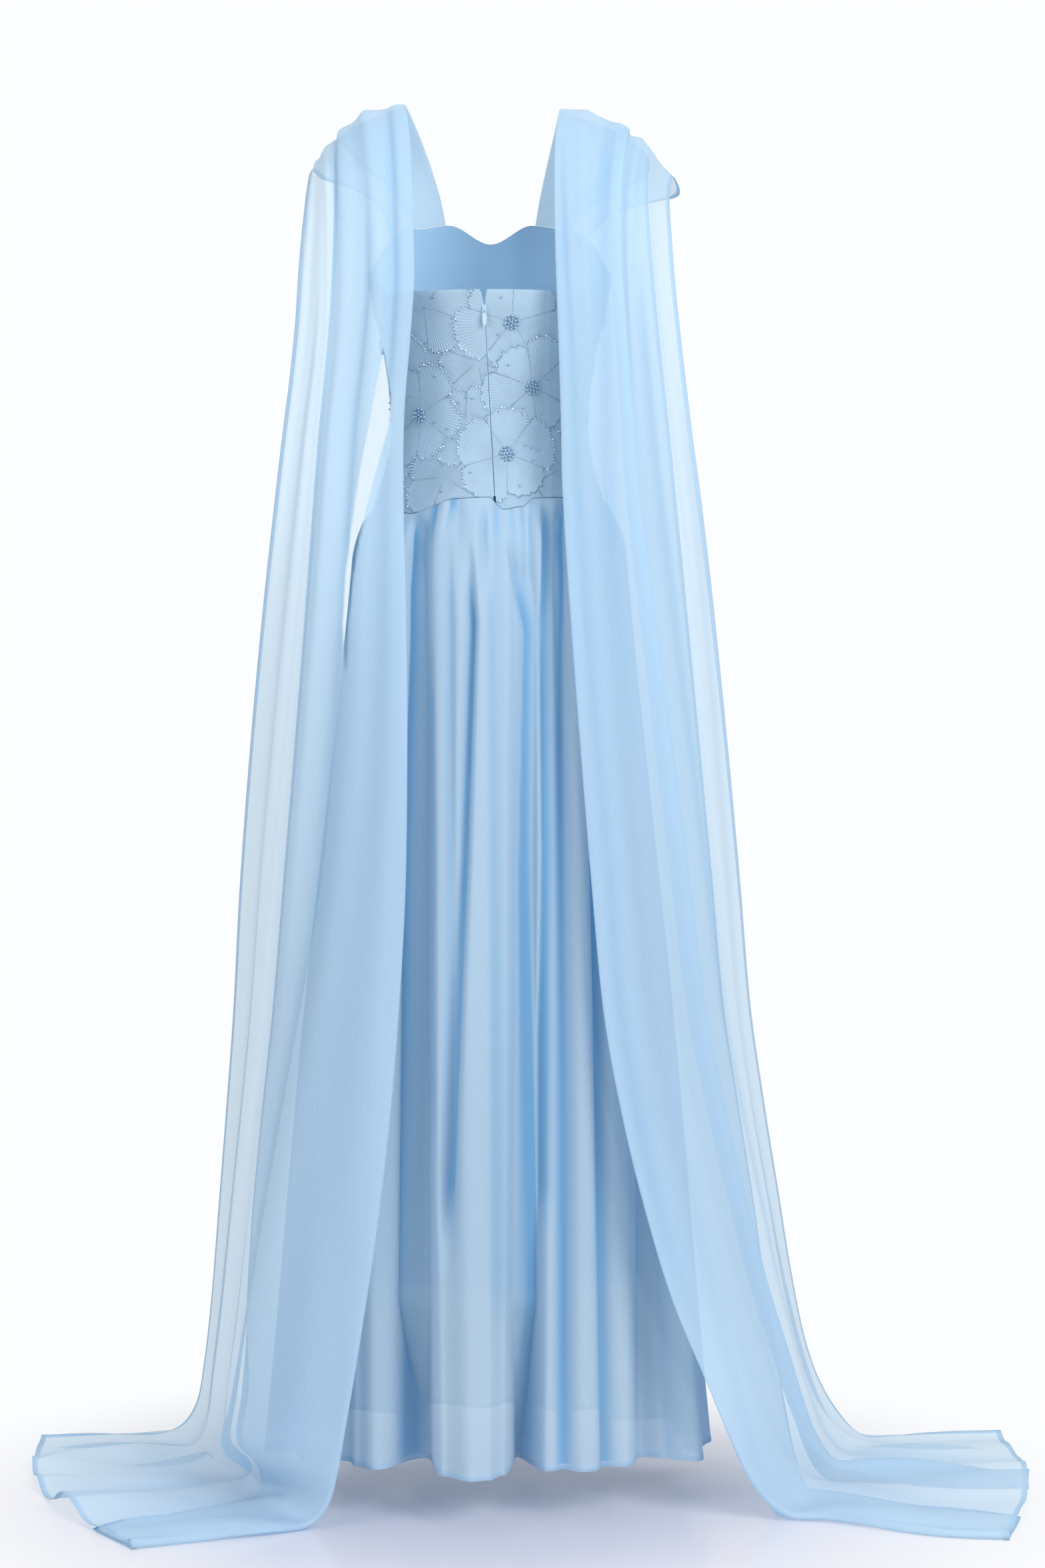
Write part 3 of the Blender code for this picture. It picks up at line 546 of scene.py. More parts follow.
def on_outline(rows, height, angle, out=0.0):
    """Points of an outline table at heights above the floor and angles from the centre back."""
    height, angle = np.broadcast_arrays(np.asarray(height, float), np.asarray(angle, float))
    half_width, back, front = table_at(rows, height)
    sin, cos = np.sin(np.radians(angle)), np.cos(np.radians(angle))
    depth = np.where(cos > 0, back, front)
    away_x, away_y = sin * depth, cos * half_width
    length = np.hypot(away_x, away_y)
    x = sin * half_width + away_x / length * out
    y = cos * depth + away_y / length * out
    return np.stack([x, y, height + FLOOR], axis=-1)


def straight_down(angle, share):
    """Angle, at this share of the drop, of a fold that has this angle at the hem."""
    return angle + np.degrees(FOLD_SPREAD * (1 - share) * np.sin(2 * np.radians(angle)))


def window(value, start, end, soft):
    """1 between start and end, easing to 0 over the soft distance."""
    begin = ease((value - start) / soft) if start > 0 else 1.0
    finish = ease((end - value) / soft) if end < 1 else 1.0
    return begin * finish


def clear_of(point, half_width, depth):
    """The points, moved straight out of an upright ellipse where they lie inside."""
    reach = np.hypot(point[..., 0] / half_width, point[..., 1] / depth)
    grow = np.where(reach < 1.0, 1.0 / np.maximum(reach, 1e-6), 1.0)
    point = point.copy()
    point[..., 0] *= grow
    point[..., 1] *= grow
    return point


def gathers(angle, share, depth):
    """Uneven little gathers below the waist seam, some longer than others, and painted shade in the
    valleys between them.
    """
    turn = np.radians(angle)
    cycles = angle / 7.4 + 0.60 * np.sin(turn * 7 + 1.0) + 0.40 * np.sin(turn * 17 + 2.2)
    ridge = (0.5 + 0.5 * np.cos(2 * np.pi * cycles)) ** 1.4
    size = 0.60 + 0.25 * np.sin(turn * 11 + 0.4) + 0.15 * np.sin(turn * 29)
    reach = 0.045 + 0.030 * np.sin(turn * 13 + 2.0) + 0.015 * np.sin(turn * 31)
    fade = (0.45 + 0.55 * ease(share / 0.010)) * np.exp(-share / np.maximum(reach, 0.012))
    fine = 0.5 + 0.5 * np.sin(2 * np.pi * (cycles * 2.7 + 0.2))
    # Painted shade in the valleys between the gathers, fading out down the skirt
    valley_shade = ease((0.26 - ridge) / 0.26) * (size * 1.5) ** 2
    valley_shade = valley_shade * np.exp(-((share / np.maximum(reach * 1.1, 0.016)) ** 2))
    return depth * size * fade * (ridge + 0.25 * fine), valley_shade


def back_creases(x, share):
    """The creases on the back of the overskirt: way out, and how far down a trough each point lies,
    kept as painted shade.
    """
    total, deep = np.zeros_like(x), np.zeros_like(x)
    for x0, x1, x2, x3, minus, plus, depth, start, end in BACK_CREASES:
        path = np.interp(share, CREASE_SHARES, (x0, x1, x2, x3))
        off = x - path
        width = np.where(off < 0, minus, plus)
        grown = 1.0 + 0.8 * share
        trough = np.exp(-((off / (width * grown)) ** 2)) * window(share, start, end, 0.10)
        total -= depth * trough
        # Painted shade: how far down the deepest trough each point lies
        deep = np.maximum(deep, trough**2.2 * min(1.0, depth / 0.012))
    return total, deep


def side_creases(angle, share):
    """Way out of the softer folds all round the overskirt."""
    total = np.zeros_like(angle)
    for middle, half_width, out, start, end in SIDE_CREASES:
        off = (angle - middle + 180.0) % 360.0 - 180.0 + 1.5 * np.sin(share * 5 + middle)
        soft = np.exp(-((off / half_width) ** 2))
        total += out * soft * window(share, start, end, 0.18) * (0.4 + 0.6 * share)
    return total


def overskirt_at(angle, share, out=0.0):
    """Points of the overskirt, share of the way from the waist seam to the hem."""
    return overskirt_relief(angle, share, out)[0]


def overskirt_relief(angle, share, out=0.0):
    """Points of the overskirt, and the painted shade each has in the creases, from 0 to 1."""
    angle, share = np.broadcast_arrays(np.asarray(angle, float), np.asarray(share, float))
    sizes = bpy.context.scene.dress_sizes
    top = round_table(WAIST_SEAM, straight_down(angle, 0.0)) - SEAM_ROW_GAP
    height = top + (HEM - top) * share
    main = round_table(FOLDS, angle) * np.maximum(share, 0.0) ** 0.9
    here = straight_down(angle, share)
    mean = on_outline(SKIRT, height, here)
    at_back = ease((mean[..., 1] - 0.02) / 0.04) * ease(share / 0.03)
    hand, deep = back_creases(mean[..., 0], share)
    soft = side_creases(angle, share)
    gathered, valley_shade = gathers(angle, share, sizes.gather_depth)
    puff = 0.007 * ease(share / 0.05) * ease((0.95 - share) / 0.5)
    fold = main + gathered + puff + sizes.fold_depth * (hand * at_back + soft)
    # Painted shade in the creases: back troughs, the gathers' valleys, side-fold troughs and
    # main-fold troughs
    crease_shade = deep * at_back + valley_shade + np.clip(-soft / 0.008, 0.0, 1.0) * 0.45
    crease_shade = np.clip(crease_shade + 0.30 * ease((-main - 0.012) / 0.03), 0.0, 1.0)
    point = on_outline(SKIRT, height, here, fold)
    half_width, back, front = table_at(LINING, np.maximum(height, LINING_HEM))
    depth = np.where(point[..., 1] > 0, back, front)
    spare = (SKIRT_WALL + LINING_CLEAR) * np.minimum(1.0, share * 12)
    below = np.maximum(0.0, LINING_HEM - 0.015 - height)
    shrink = 1.0 - 0.45 * below / (LINING_HEM - HEM)
    point = clear_of(point, (half_width + spare) * shrink, (depth + spare) * shrink)
    away = point[..., :2] / np.linalg.norm(point[..., :2], axis=-1, keepdims=True)
    point[..., :2] += away * out
    return point, crease_shade


def lining_at(angle, share, out=0.0):
    """Points of the lining, share of the way down to its hem."""
    angle, share = np.broadcast_arrays(np.asarray(angle, float), np.asarray(share, float))
    top = round_table(WAIST_SEAM, straight_down(angle, 0.0)) - SEAM_ROW_GAP
    height = top + (LINING_HEM - top) * share
    here = straight_down(angle, share * 0.8)
    turn = np.radians(angle)
    soft = 0.0020 * np.sin(turn * 5 + 1.0) + 0.0014 * np.sin(turn * 13 + 3 * share)
    return on_outline(LINING, height, here, out + soft * ease(share / 0.5) - 0.0016)


# Meshes from grids of points


def grid_object(name, points, size, material):
    """A sheet whose vertices are the grid of points: rows down it, columns across it.

    size is its width and length, for the UV map, which is in metres.
    """
    rows, columns = points.shape[0] - 1, points.shape[1] - 1
    bm = bmesh.new()
    bm.loops.layers.uv.new("UVMap")
    bmesh.ops.create_grid(bm, x_segments=columns, y_segments=rows, size=0.5, calc_uvs=True)
    mesh = bpy.data.meshes.new(name)
    bm.to_mesh(mesh)
    bm.free()
    flat = np.zeros(len(mesh.vertices) * 3)
    mesh.vertices.foreach_get("co", flat)
    flat = flat.reshape(-1, 3)
    column = np.rint((flat[:, 0] + 0.5) * columns).astype(int)
    row = np.rint((0.5 - flat[:, 1]) * rows).astype(int)
    mesh.vertices.foreach_set("co", points[row, column].ravel())
    corners = np.zeros(len(mesh.loops), int)
    mesh.loops.foreach_get("vertex_index", corners)
    along = np.stack([column[corners] / columns, row[corners] / rows], axis=-1)
    uv = along * np.array(size)
    mesh.uv_layers[0].data.foreach_set("uv", uv.ravel())
    mesh.shade_smooth()
    mesh.materials.append(material)
    mesh.update()
    thing = bpy.data.objects.new(name, mesh)
    bpy.context.scene.collection.objects.link(thing)
    return thing, row, column


def point_values(thing, name, values):
    """Stores one value a vertex, for the finishes to read."""
    attribute = thing.data.attributes.new(name, "FLOAT", "POINT")
    attribute.data.foreach_set("value", np.ascontiguousarray(values, np.float32).ravel())


def settle(thing, nodes=(), body="dress"):
    """The piece rides on its body and stands for its CAD nodes."""
    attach(thing, body)
    if nodes:
        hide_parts(*nodes)
    return thing


def balls(name, places, radii, material, subdivisions=1, flat=1.0, normals=None):
    """Many small balls as one mesh, each at its place, flattened along its normal."""
    parts = bmesh.new()
    mesh = bpy.data.meshes.new(name)
    for number, (place, radius) in enumerate(zip(places, radii)):
        turn = Matrix.Identity(4)
        if normals is not None:
            turn = Vector(normals[number]).to_track_quat("Z", "Y").to_matrix().to_4x4()
        size = Matrix.Diagonal((radius, radius, radius * flat, 1.0))
        bmesh.ops.create_icosphere(
            parts,
            subdivisions=subdivisions,
            radius=1.0,
            matrix=Matrix.Translation(place) @ turn @ size,
        )
    parts.to_mesh(mesh)
    parts.free()
    mesh.shade_smooth()
    mesh.materials.append(material)
    thing = bpy.data.objects.new(name, mesh)
    bpy.context.scene.collection.objects.link(thing)
    return thing


def hem_strip(name, line_of, steps, band, thick, material):
    """A narrow turned hem: a flat tube round the edge. line_of(steps, inset, out) gives points."""
    section = ((band, thick), (0.0, thick), (-thick * 0.6, 0.0), (0.0, -thick), (band, -thick))
    points = np.stack([line_of(steps, inset, out) for inset, out in section], axis=0)
    strip, _, _ = grid_object(name, points, (1.0, 0.01), material)
    return strip


# Finishes


class Socket:
    """A shader value that takes part in sums written like plain numbers."""

    def __init__(self, finish, socket):
        self.finish = finish
        self.socket = socket

    def _math(self, operation, first, second):
        return self.finish.node("ShaderNodeMath", {"operation": operation}, {0: first, 1: second})

    def __add__(self, other):
        return self._math("ADD", self, other)

    def __radd__(self, other):
        return self._math("ADD", other, self)

    def __sub__(self, other):
        return self._math("SUBTRACT", self, other)

    def __rsub__(self, other):
        return self._math("SUBTRACT", other, self)

    def __mul__(self, other):
        return self._math("MULTIPLY", self, other)

    def __rmul__(self, other):
        return self._math("MULTIPLY", other, self)

    def __pow__(self, other):
        return self._math("POWER", self, other)

    def sine(self):
        return self.finish.node("ShaderNodeMath", {"operation": "SINE"}, {0: self})


class Finish:
    """A new material and its nodes."""

    def __init__(self, name):
        self.material = bpy.data.materials.new(name)
        self.material.use_nodes = True
        self.tree = self.material.node_tree
        self.tree.nodes.clear()

    def node(self, kind, settings=None, inputs=None, output=0):
        made = self.tree.nodes.new(kind)
        for key, value in (settings or {}).items():
            setattr(made, key, value)
        for key, value in (inputs or {}).items():
            if isinstance(value, Socket):
                self.tree.links.new(value.socket, made.inputs[key])
            else:
                made.inputs[key].default_value = value
        return Socket(self, made.outputs[output])

    def uv(self):
        return self.node("ShaderNodeUVMap", {"uv_map": "UVMap"})

    def value(self, name):
        return self.node("ShaderNodeAttribute", {"attribute_name": name}, output="Fac")

    def noise(self, vector, scale, detail=2.0):
        return self.node(
            "ShaderNodeTexNoise", None, {"Vector": vector, "Scale": scale, "Detail": detail}
        )

    def stretched(self, vector, across, along):
        return self.node(
            "ShaderNodeVectorMath",
            {"operation": "MULTIPLY"},
            {0: vector, 1: (across, along, 1.0)},
        )

    def blend(self, share, first, second):
        return self.node(
            "ShaderNodeMix",
            {"data_type": "RGBA"},
            {0: share, 6: first, 7: second},
            output=2,
        )

    def bump(self, height, distance, strength=1.0):
        return self.node(
            "ShaderNodeBump",
            None,
            {"Height": height, "Distance": distance, "Strength": strength},
        )

    def surface(self, shader):
        self.node_output = self.tree.nodes.new("ShaderNodeOutputMaterial")
        self.tree.links.new(shader.socket, self.node_output.inputs["Surface"])
        return self.material


def rgba(colour, scale=1.0):
    return (*[min(1.0, part * scale) for part in colour], 1.0)


def chiffon_finish(name, cover, painted_light_gain=1.0):
    """Sheer plain-weave cloth: part is see-through, and part scatters and lets light through."""
    colours = bpy.context.scene.dress_colours
    made = Finish(name)
    uv = made.uv()
    slub = made.noise(made.stretched(uv, 900.0, 60.0), 1.0, 3.0)
    broad = made.noise(made.stretched(uv, 14.0, 3.0), 1.0, 2.0)
    weave = made.bump(slub, 0.00012, 0.5)
    # painted_light_gain lightens this copy of the chiffon as painted light
    tone = made.blend(
        broad, rgba(colours.chiffon, 0.96 * painted_light_gain), rgba(colours.chiffon, 1.05 * painted_light_gain)
    )
    # Painted shade stored on the mesh blends the threads towards the crease colour
    crease_shade = made.value("crease_shade")
    tone = made.blend(crease_shade, tone, rgba(colours.chiffon_crease_shade))
    threads = made.node(
        "ShaderNodeBsdfPrincipled",
        None,
        {
            "Base Color": tone,
            "Roughness": 0.62,
            "Specular IOR Level": 0.25,
            "Sheen Weight": 0.22,
            "Sheen Roughness": 0.45,
            "Sheen Tint": (0.85, 0.93, 1.0, 1.0),
            "Normal": weave,
        },
    )
    glow = made.node(
        "ShaderNodeBsdfTranslucent", None, {"Color": rgba(colours.chiffon, 1.08 * painted_light_gain)}
    )
    cloth = made.node("ShaderNodeMixShader", None, {0: 0.38, 1: threads, 2: glow})
    clear = made.node("ShaderNodeBsdfTransparent", None, {"Color": rgba(colours.chiffon_tint)})
    # The painted crease shade also makes the cloth less see-through
    share = cover + (slub - 0.5) * 0.10 + crease_shade * 0.20 - made.value("opening")
    return made.surface(made.node("ShaderNodeMixShader", None, {0: share, 1: clear, 2: cloth}))


def lining_finish():
    """Soft satin of the lining and of the bodice's inner face."""
    colours = bpy.context.scene.dress_colours
    made = Finish("lining_satin")
    uv = made.uv()
    broad = made.noise(made.stretched(uv, 9.0, 3.0), 1.0, 2.0)
    threads = made.noise(made.stretched(uv, 1500.0, 120.0), 1.0, 2.0)
    tone = made.blend(broad, rgba(colours.lining, 0.95), rgba(colours.lining, 1.04))
    shader = made.node(
        "ShaderNodeBsdfPrincipled",
        None,
        {
            "Base Color": tone,
            "Roughness": 0.5,
            "Specular IOR Level": 0.3,
            "Sheen Weight": 0.10,
            "Normal": made.bump(threads, 0.00008, 0.4),
        },
    )
    return made.surface(shader)


def tulle_finish():
    """Ruched tulle of the embroidered petals, from the values stored on the mesh."""
    colours = bpy.context.scene.dress_colours
    made = Finish("embroidered_tulle_ruched")
    uv = made.uv()
    net = made.noise(made.stretched(uv, 1400.0, 1400.0), 1.0, 2.0)
    cloud = made.noise(made.stretched(uv, 28.0, 28.0), 1.0, 3.0)
    ruche = made.value("ruche_phase").sine() * 0.5 + 0.5
    wobble = made.noise(made.stretched(uv, 240.0, 240.0), 1.0, 2.0)
    ruche = (ruche * (wobble * 0.8 + 0.6)) * made.value("ruche_share")
    # Painted shade and shadow of the embroidery, worked out in embroidery() and stored on the mesh
    depth = made.value("shade")
    height = ruche + net * 0.25
    light = made.blend(cloud, rgba(colours.tulle, 0.80), rgba(colours.tulle, 1.16))
    # Painted highlight on the ruche ridges, which the bump also raises
    ruche_highlit = made.blend(ruche * 0.42, light, rgba(colours.tulle, 1.30))
    tone = made.blend(depth, ruche_highlit, rgba(colours.tulle_shade))
    shader = made.node(
        "ShaderNodeBsdfPrincipled",
        None,
        {
            "Base Color": tone,
            "Roughness": 0.68,
            "Specular IOR Level": 0.2,
            "Sheen Weight": 0.30,
            "Sheen Roughness": 0.5,
            "Sheen Tint": (0.85, 0.92, 1.0, 1.0),
            "Normal": made.bump(height, 0.0004, 0.7),
        },
    )
    return made.surface(shader)


def smooth_finish(name, colour, roughness, metallic=0.0, coat=0.0, sheen=0.0):
    """Beads, zip tape and zip metal."""
    made = Finish(name)
    where = made.node("ShaderNodeTexCoord", output="Object")
    cloud = made.noise(where, 300.0, 2.0)
    tone = made.blend(cloud, rgba(colour, 0.9), rgba(colour, 1.1))
    shader = made.node(
        "ShaderNodeBsdfPrincipled",
        None,
        {
            "Base Color": tone,
            "Roughness": roughness,
            "Metallic": metallic,
            "Coat Weight": coat,
            "Coat Roughness": 0.08,
            "Sheen Weight": sheen,
        },
    )
    return made.surface(shader)


def shared(name, make):
    """The material of this name, made once."""
    return bpy.data.materials.get(name) or make()


# Embroidery


def flowers():
    """All flowers in the order they are sewn on: angle, height, radius, petals, turn."""
    found = []
    for number, (angle, height, radius, petals) in enumerate(PLAIN_FLOWERS):
        found.append((angle, height, radius * 1.12, petals - 1, 0.7 + 1.31 * number))
    for number, (angle, height) in enumerate(BEAD_CLUSTERS):
        petals = 5 + number % 2
        found.append((angle, height, HEART_FLOWER_RADIUS, petals, 0.3 + 0.93 * number))
    return found


def around_flower(flower, angle, height):
    """Distance from a flower's heart, turn round it, turn within the petal, and edge distance."""
    middle, heart, radius, petals, turn = flower
    across = ((angle - middle + 180.0) % 360.0 - 180.0) * math.pi / 180.0 * ARC_RADIUS
    up = height - heart
    reach = np.hypot(across, up)
    bearing = np.arctan2(up, across) + turn
    step = 2 * math.pi / petals
    petal = np.rint(bearing / step)
    within = bearing - petal * step
    uneven = 1.0 + 0.09 * np.sin(petal * 2.3 + turn * 5) + 0.018 * np.sin(bearing * 31 + turn)
    uneven = uneven + 0.012 * np.sin(bearing * 53)
    lobe = 0.80 + 0.20 * np.sqrt(np.maximum(np.cos(within * petals / 2), 0.0))
    return reach, within, radius * lobe * uneven


def embroidery(angle, height):
    """Way out, shade, ruche phase and ruche strength of the embroidered surface."""
    sizes = bpy.context.scene.dress_sizes
    out = np.zeros_like(height)
    shade = np.full_like(height, 0.30)
    phase = angle * 4.2 + 3.0 * np.sin(height * 90)
    strength = np.full_like(height, 0.45)
    for flower in flowers():
        reach, within, edge = around_flower(flower, angle, height)
        inside = reach < edge
        inset = np.abs(edge - reach)
        share = np.clip(reach / edge, 0.0, 1.0)
        cleft = np.exp(-((((math.pi / flower[3]) - np.abs(within)) * reach / 0.0014) ** 2))
        cleft = cleft * ease((share - 0.55) / 0.4)
        rim = np.exp(-((inset / 0.0022) ** 2))
        dome = 0.0008 * (1 - share**3)
        petal_out = 0.0003 + sizes.petal_edge * rim + dome - 0.0003 * cleft
        heart = np.exp(-((share / 0.22) ** 2))
        # Painted shade in the petal's clefts and along its rim; darker towards its heart
        petal_shade = 0.06 + 0.22 * heart + 0.16 * cleft + 0.26 * np.exp(-((inset / 0.0014) ** 2))
        # Painted shadow just outside the petal's edge, over what was sewn before it
        under = np.exp(-np.maximum(reach - edge, 0.0) / 0.0045)
        shade = np.where(inside, petal_shade, np.maximum(shade, 0.55 * under))
        out = np.where(inside, petal_out, out)
        phase = np.where(inside, within * 96.0 + 1.2 * np.sin(reach * 210), phase)
        strength = np.where(inside, ease((share - 0.06) / 0.35), strength)
    return out, np.clip(shade, 0.0, 1.0), phase, strength


def zip_x(height):
    """x of the zip's middle, which leans a little."""
    share = (height - ZIP_FOOT) / (ZIP_TOP - ZIP_FOOT)
    return ZIP_FOOT_X + (ZIP_TOP_X - ZIP_FOOT_X) * share


def zip_gap(height):
    """Half the space between the two backs: the slot of the zip, and the notch over it."""
    opened = np.clip((height - ZIP_TOP - NOTCH_FOOT) / NOTCH_RISE, 0.0, 1.0)
    return ZIP_GAP - SLOT_COVERED + NOTCH_SHOWN * (NOTCH_HALF_WIDTH - ZIP_GAP) * opened


def bodice_at(start, end, across, share, zip_side=0):
    """Points and embroidery values of a bodice panel between two angles round the figure."""
    angle = start + (end - start) * across
    for _ in range(3):
        foot = round_table(WAIST_SEAM, angle)
        head = round_table(NECKLINE, angle)
        height = foot + (head - foot) * share
        half_width = table_at(FIGURE, height)[0]
        edge = np.degrees(np.arcsin((zip_x(height) + zip_side * zip_gap(height)) / half_width))
        if zip_side > 0:
            angle = edge + (end - edge) * across
        elif zip_side < 0:
            angle = start + (edge - start) * across
    out, shade, phase, strength = embroidery(angle, height)
    hem = np.minimum((height - foot) / 0.003, (head - height) / 0.003)
    out = out * ease(hem)
    outside = on_outline(FIGURE, height, angle, out)
    # The inner face turns in at both edges and at the sides, so that the panel is a wall
    inner = slice(None, None, 8)
    inside = on_outline(FIGURE, height[inner], angle[inner], -BODICE_WALL)
    inside[:, [0, -1]] = outside[inner][:, [0, -1]]
    points = np.concatenate([inside[:1], outside, inside[::-1]])
    plain = np.zeros_like(height[inner])
    values = [
        np.concatenate([plain[:1], value, plain]) for value in (shade, phase, strength)
    ]
    return points, values, 1 + len(outside)


def in_field(angle, height, spare):
    """Whether a place is on the bodice, clear of its edges and the zip."""
    point = on_outline(FIGURE, height, angle)
    clear = (height > round_table(WAIST_SEAM, angle) + spare) & (
        height < round_table(NECKLINE, angle) - spare
    )
    beside = (np.abs(point[..., 0] - zip_x(height)) > 0.0035 + spare) | (point[..., 1] < 0)
    return clear & beside


def petal_edge_beads(generator, spacing):
    """Places of the seed beads along each petal edge that no later flower covers."""
    sewn = flowers()
    angles, heights, radii = [], [], []
    for number, flower in enumerate(sewn):
        middle, heart, radius, petals, turn = flower
        count = int(2 * math.pi * radius / spacing)
        bearing = np.linspace(0, 2 * math.pi, count, endpoint=False)
        step = 2 * math.pi / petals
        petal = np.rint((bearing + turn) / step)
        far_angle = middle + np.degrees(np.cos(bearing) * radius / ARC_RADIUS)
        _, _, edge = around_flower(flower, far_angle, heart + np.sin(bearing) * radius)
        angle = middle + np.degrees(np.cos(bearing) * edge / ARC_RADIUS)
        height = heart + np.sin(bearing) * edge
        shown = in_field(angle, height, 0.0015)
        for later in sewn[number + 1 :]:
            reach, _, later_edge = around_flower(later, angle, height)
            shown &= reach > later_edge + 0.0006
        kept = shown & (np.sin(petal * 1.7 + number) > -0.75) & (generator.random(count) > 0.12)
        angles.append(angle[kept])
        heights.append(height[kept])
        bright = generator.random(kept.sum())
        radii.append(np.where(bright > 0.86, 1.55, 0.75 + 0.45 * bright))
    return np.concatenate(angles), np.concatenate(heights), np.concatenate(radii)


def on_bodice(angle, height, lift):
    """Points on the embroidered surface and the directions out of it."""
    out = embroidery(angle, height)[0] + lift
    point = on_outline(FIGURE, height, angle, out)
    beside = on_outline(FIGURE, height, angle + 1.0) - on_outline(FIGURE, height, angle - 1.0)
    above = on_outline(FIGURE, height + 0.003, angle) - on_outline(FIGURE, height - 0.003, angle)
    normal = np.cross(above, beside)
    flip = np.sign(np.sum(normal * on_outline(FIGURE, height, angle) * (1, 1, 0), axis=-1))
    normal = normal * flip[..., None]
    return point, normal / np.linalg.norm(normal, axis=-1, keepdims=True)


# Cape panels


def curve_through(points, place):
    """Points at fractional places on smooth curves through the first axis of an array."""
    points = np.asarray(points, float)
    place = np.atleast_1d(np.asarray(place, float))
    last = len(points) - 1
    low = np.clip(place.astype(int), 0, last - 1)
    t = (place - low).reshape(-1, *[1] * (points.ndim - 1))
    a, b = points[np.maximum(low - 1, 0)], points[low]
    c, d = points[low + 1], points[np.minimum(low + 2, last)]
    return 0.5 * (
        2 * b + (c - a) * t + (2 * a - 5 * b + 4 * c - d) * t**2 + (3 * b - a - 3 * c + d) * t**3
    )


def cape_stations(rows, sewn, under, over):
    """For each station the points across the panel, each with its fold depth as a 4th value."""
    side = 1.0 if rows[0][0] > 0 else -1.0
    mid = [(Vector(row[0:3]) + Vector(row[3:6])) / 2 for row in rows]
    deepest = min(depth for _, depth in under)
    first = []
    for share, depth in [(s * rows[0][6], d) for s, d in under] + list(over):
        angle = sewn[0] + (sewn[1] - sewn[0]) * share
        height = round_table(NECKLINE, angle) + SEAM_ROW_GAP
        out = -BODICE_WALL / 2 + CAPE_SEWN_FOLD * (depth - deepest / 2)
        spare = CAPE_SEWN_FOLD * (depth - deepest)
        first.append([*on_outline(FIGURE, height, angle, out), spare])
    stations = [first]
    for place, row in enumerate(rows):
        inner, outer = Vector(row[0:3]), Vector(row[3:6])
        under_share, fold, bow, tail = row[6:10]
        ahead = mid[min(place + 1, len(mid) - 1)] - mid[max(place - 1, 0)]
        across = outer - inner
        ahead.normalize()
        out = across.normalized().cross(ahead) * side
        points = []
        for share, depth in [(s * under_share, d) for s, d in under] + list(over):
            arch = math.sin(math.pi * min(1.0, share))
            point = inner + across * share + out * (depth * fold + bow * arch) + ahead * tail * arch
            points.append([point.x, point.y, point.z + FLOOR, fold * (depth - deepest)])
        stations.append(points)
    return np.array(stations)


def clear_of_figure(point, spare):
    """Cape points, kept outside the bodice and the overskirt."""
    height = point[..., 2] - FLOOR
    skirt = height <= WAIST
    bodice = table_at(FIGURE, np.clip(height, WAIST, 1.43))
    below = table_at(SKIRT, np.clip(height, HEM, WAIST))
    folds = 0.004 + 0.026 * (WAIST - height) / (WAIST - HEM)
    half_width, back, front = (
        np.where(skirt, low + folds, high) for low, high in zip(below, bodice)
    )
    depth = np.where(point[..., 1] > 0, back, front)
    moved = clear_of(point, half_width + spare, depth + spare)
    free = (height > 1.37) | (height < 0.045)
    return np.where(free[..., None], point, moved)


def cape_net(rows, sewn, under, over):
    """The CAD panel's grid of points, kept clear of the figure and above the floor."""
    stations = cape_stations(rows, sewn, under, over)
    place = np.linspace(0, len(stations) - 1, CAPE_STEPS + 1)
    net = curve_through(stations, place)
    moved = clear_of_figure(net[..., :3], 0.006 + net[..., 3])
    points = np.where((np.arange(CAPE_STEPS + 1) > 1)[:, None, None], moved, net[..., :3])
    under_share = curve_through([[row[6]] for row in rows], np.maximum(place - 1, 0))
    lowest = np.full(points.shape[:2], FLOOR + CAPE_WALL / 2 + 0.0002)
    share = np.array([s for s, _ in over])[None, :]
    lowest[:, len(under) :] += UNDER_CLEAR * np.clip((under_share + 0.2 - share) / 0.2, 0, 1)
    points[..., 2] = np.maximum(points[..., 2], lowest)
    return points


def cape_creases(table, column, station):
    """Way out of the long creases of a cape panel."""
    total = np.zeros(np.broadcast(column, station).shape)
    for middle, half_width, out, start, end in table:
        drift = 0.22 * np.sin(station * 0.35 + middle * 1.7)
        soft = np.exp(-(((column - middle - drift) / half_width) ** 2))
        grow = ease((station - start) / 3.0) * (
            ease((end - station) / 3.0) if end < CAPE_STEPS else 1.0
        )
        total = total + out * soft * grow
    return total


def cape_opening(point):
    """Where the left cape panel parts beside the arm, and the background shows, from 0 to 1."""
    height = point[..., 2] - FLOOR
    middle = np.interp(height, OPENING_HEIGHTS, OPENING_MIDDLE)
    half = np.interp(height, OPENING_HEIGHTS, OPENING_HALF_WIDTH)
    off = np.abs(point[..., 0] - middle)
    return ease((half - off) / 0.004 + 0.5) * (half > 0)


def train_ripples(column, station):
    """Soft folds that the train makes where it lies on the floor."""
    lying = ease((station - 20.5) / 3.0)
    wave = 0.0045 * np.sin(column * 1.9 + station * 0.9) + 0.0035 * np.sin(
        column * 3.7 - station * 1.3 + 1.0
    )
    return lying * (wave + 0.004)


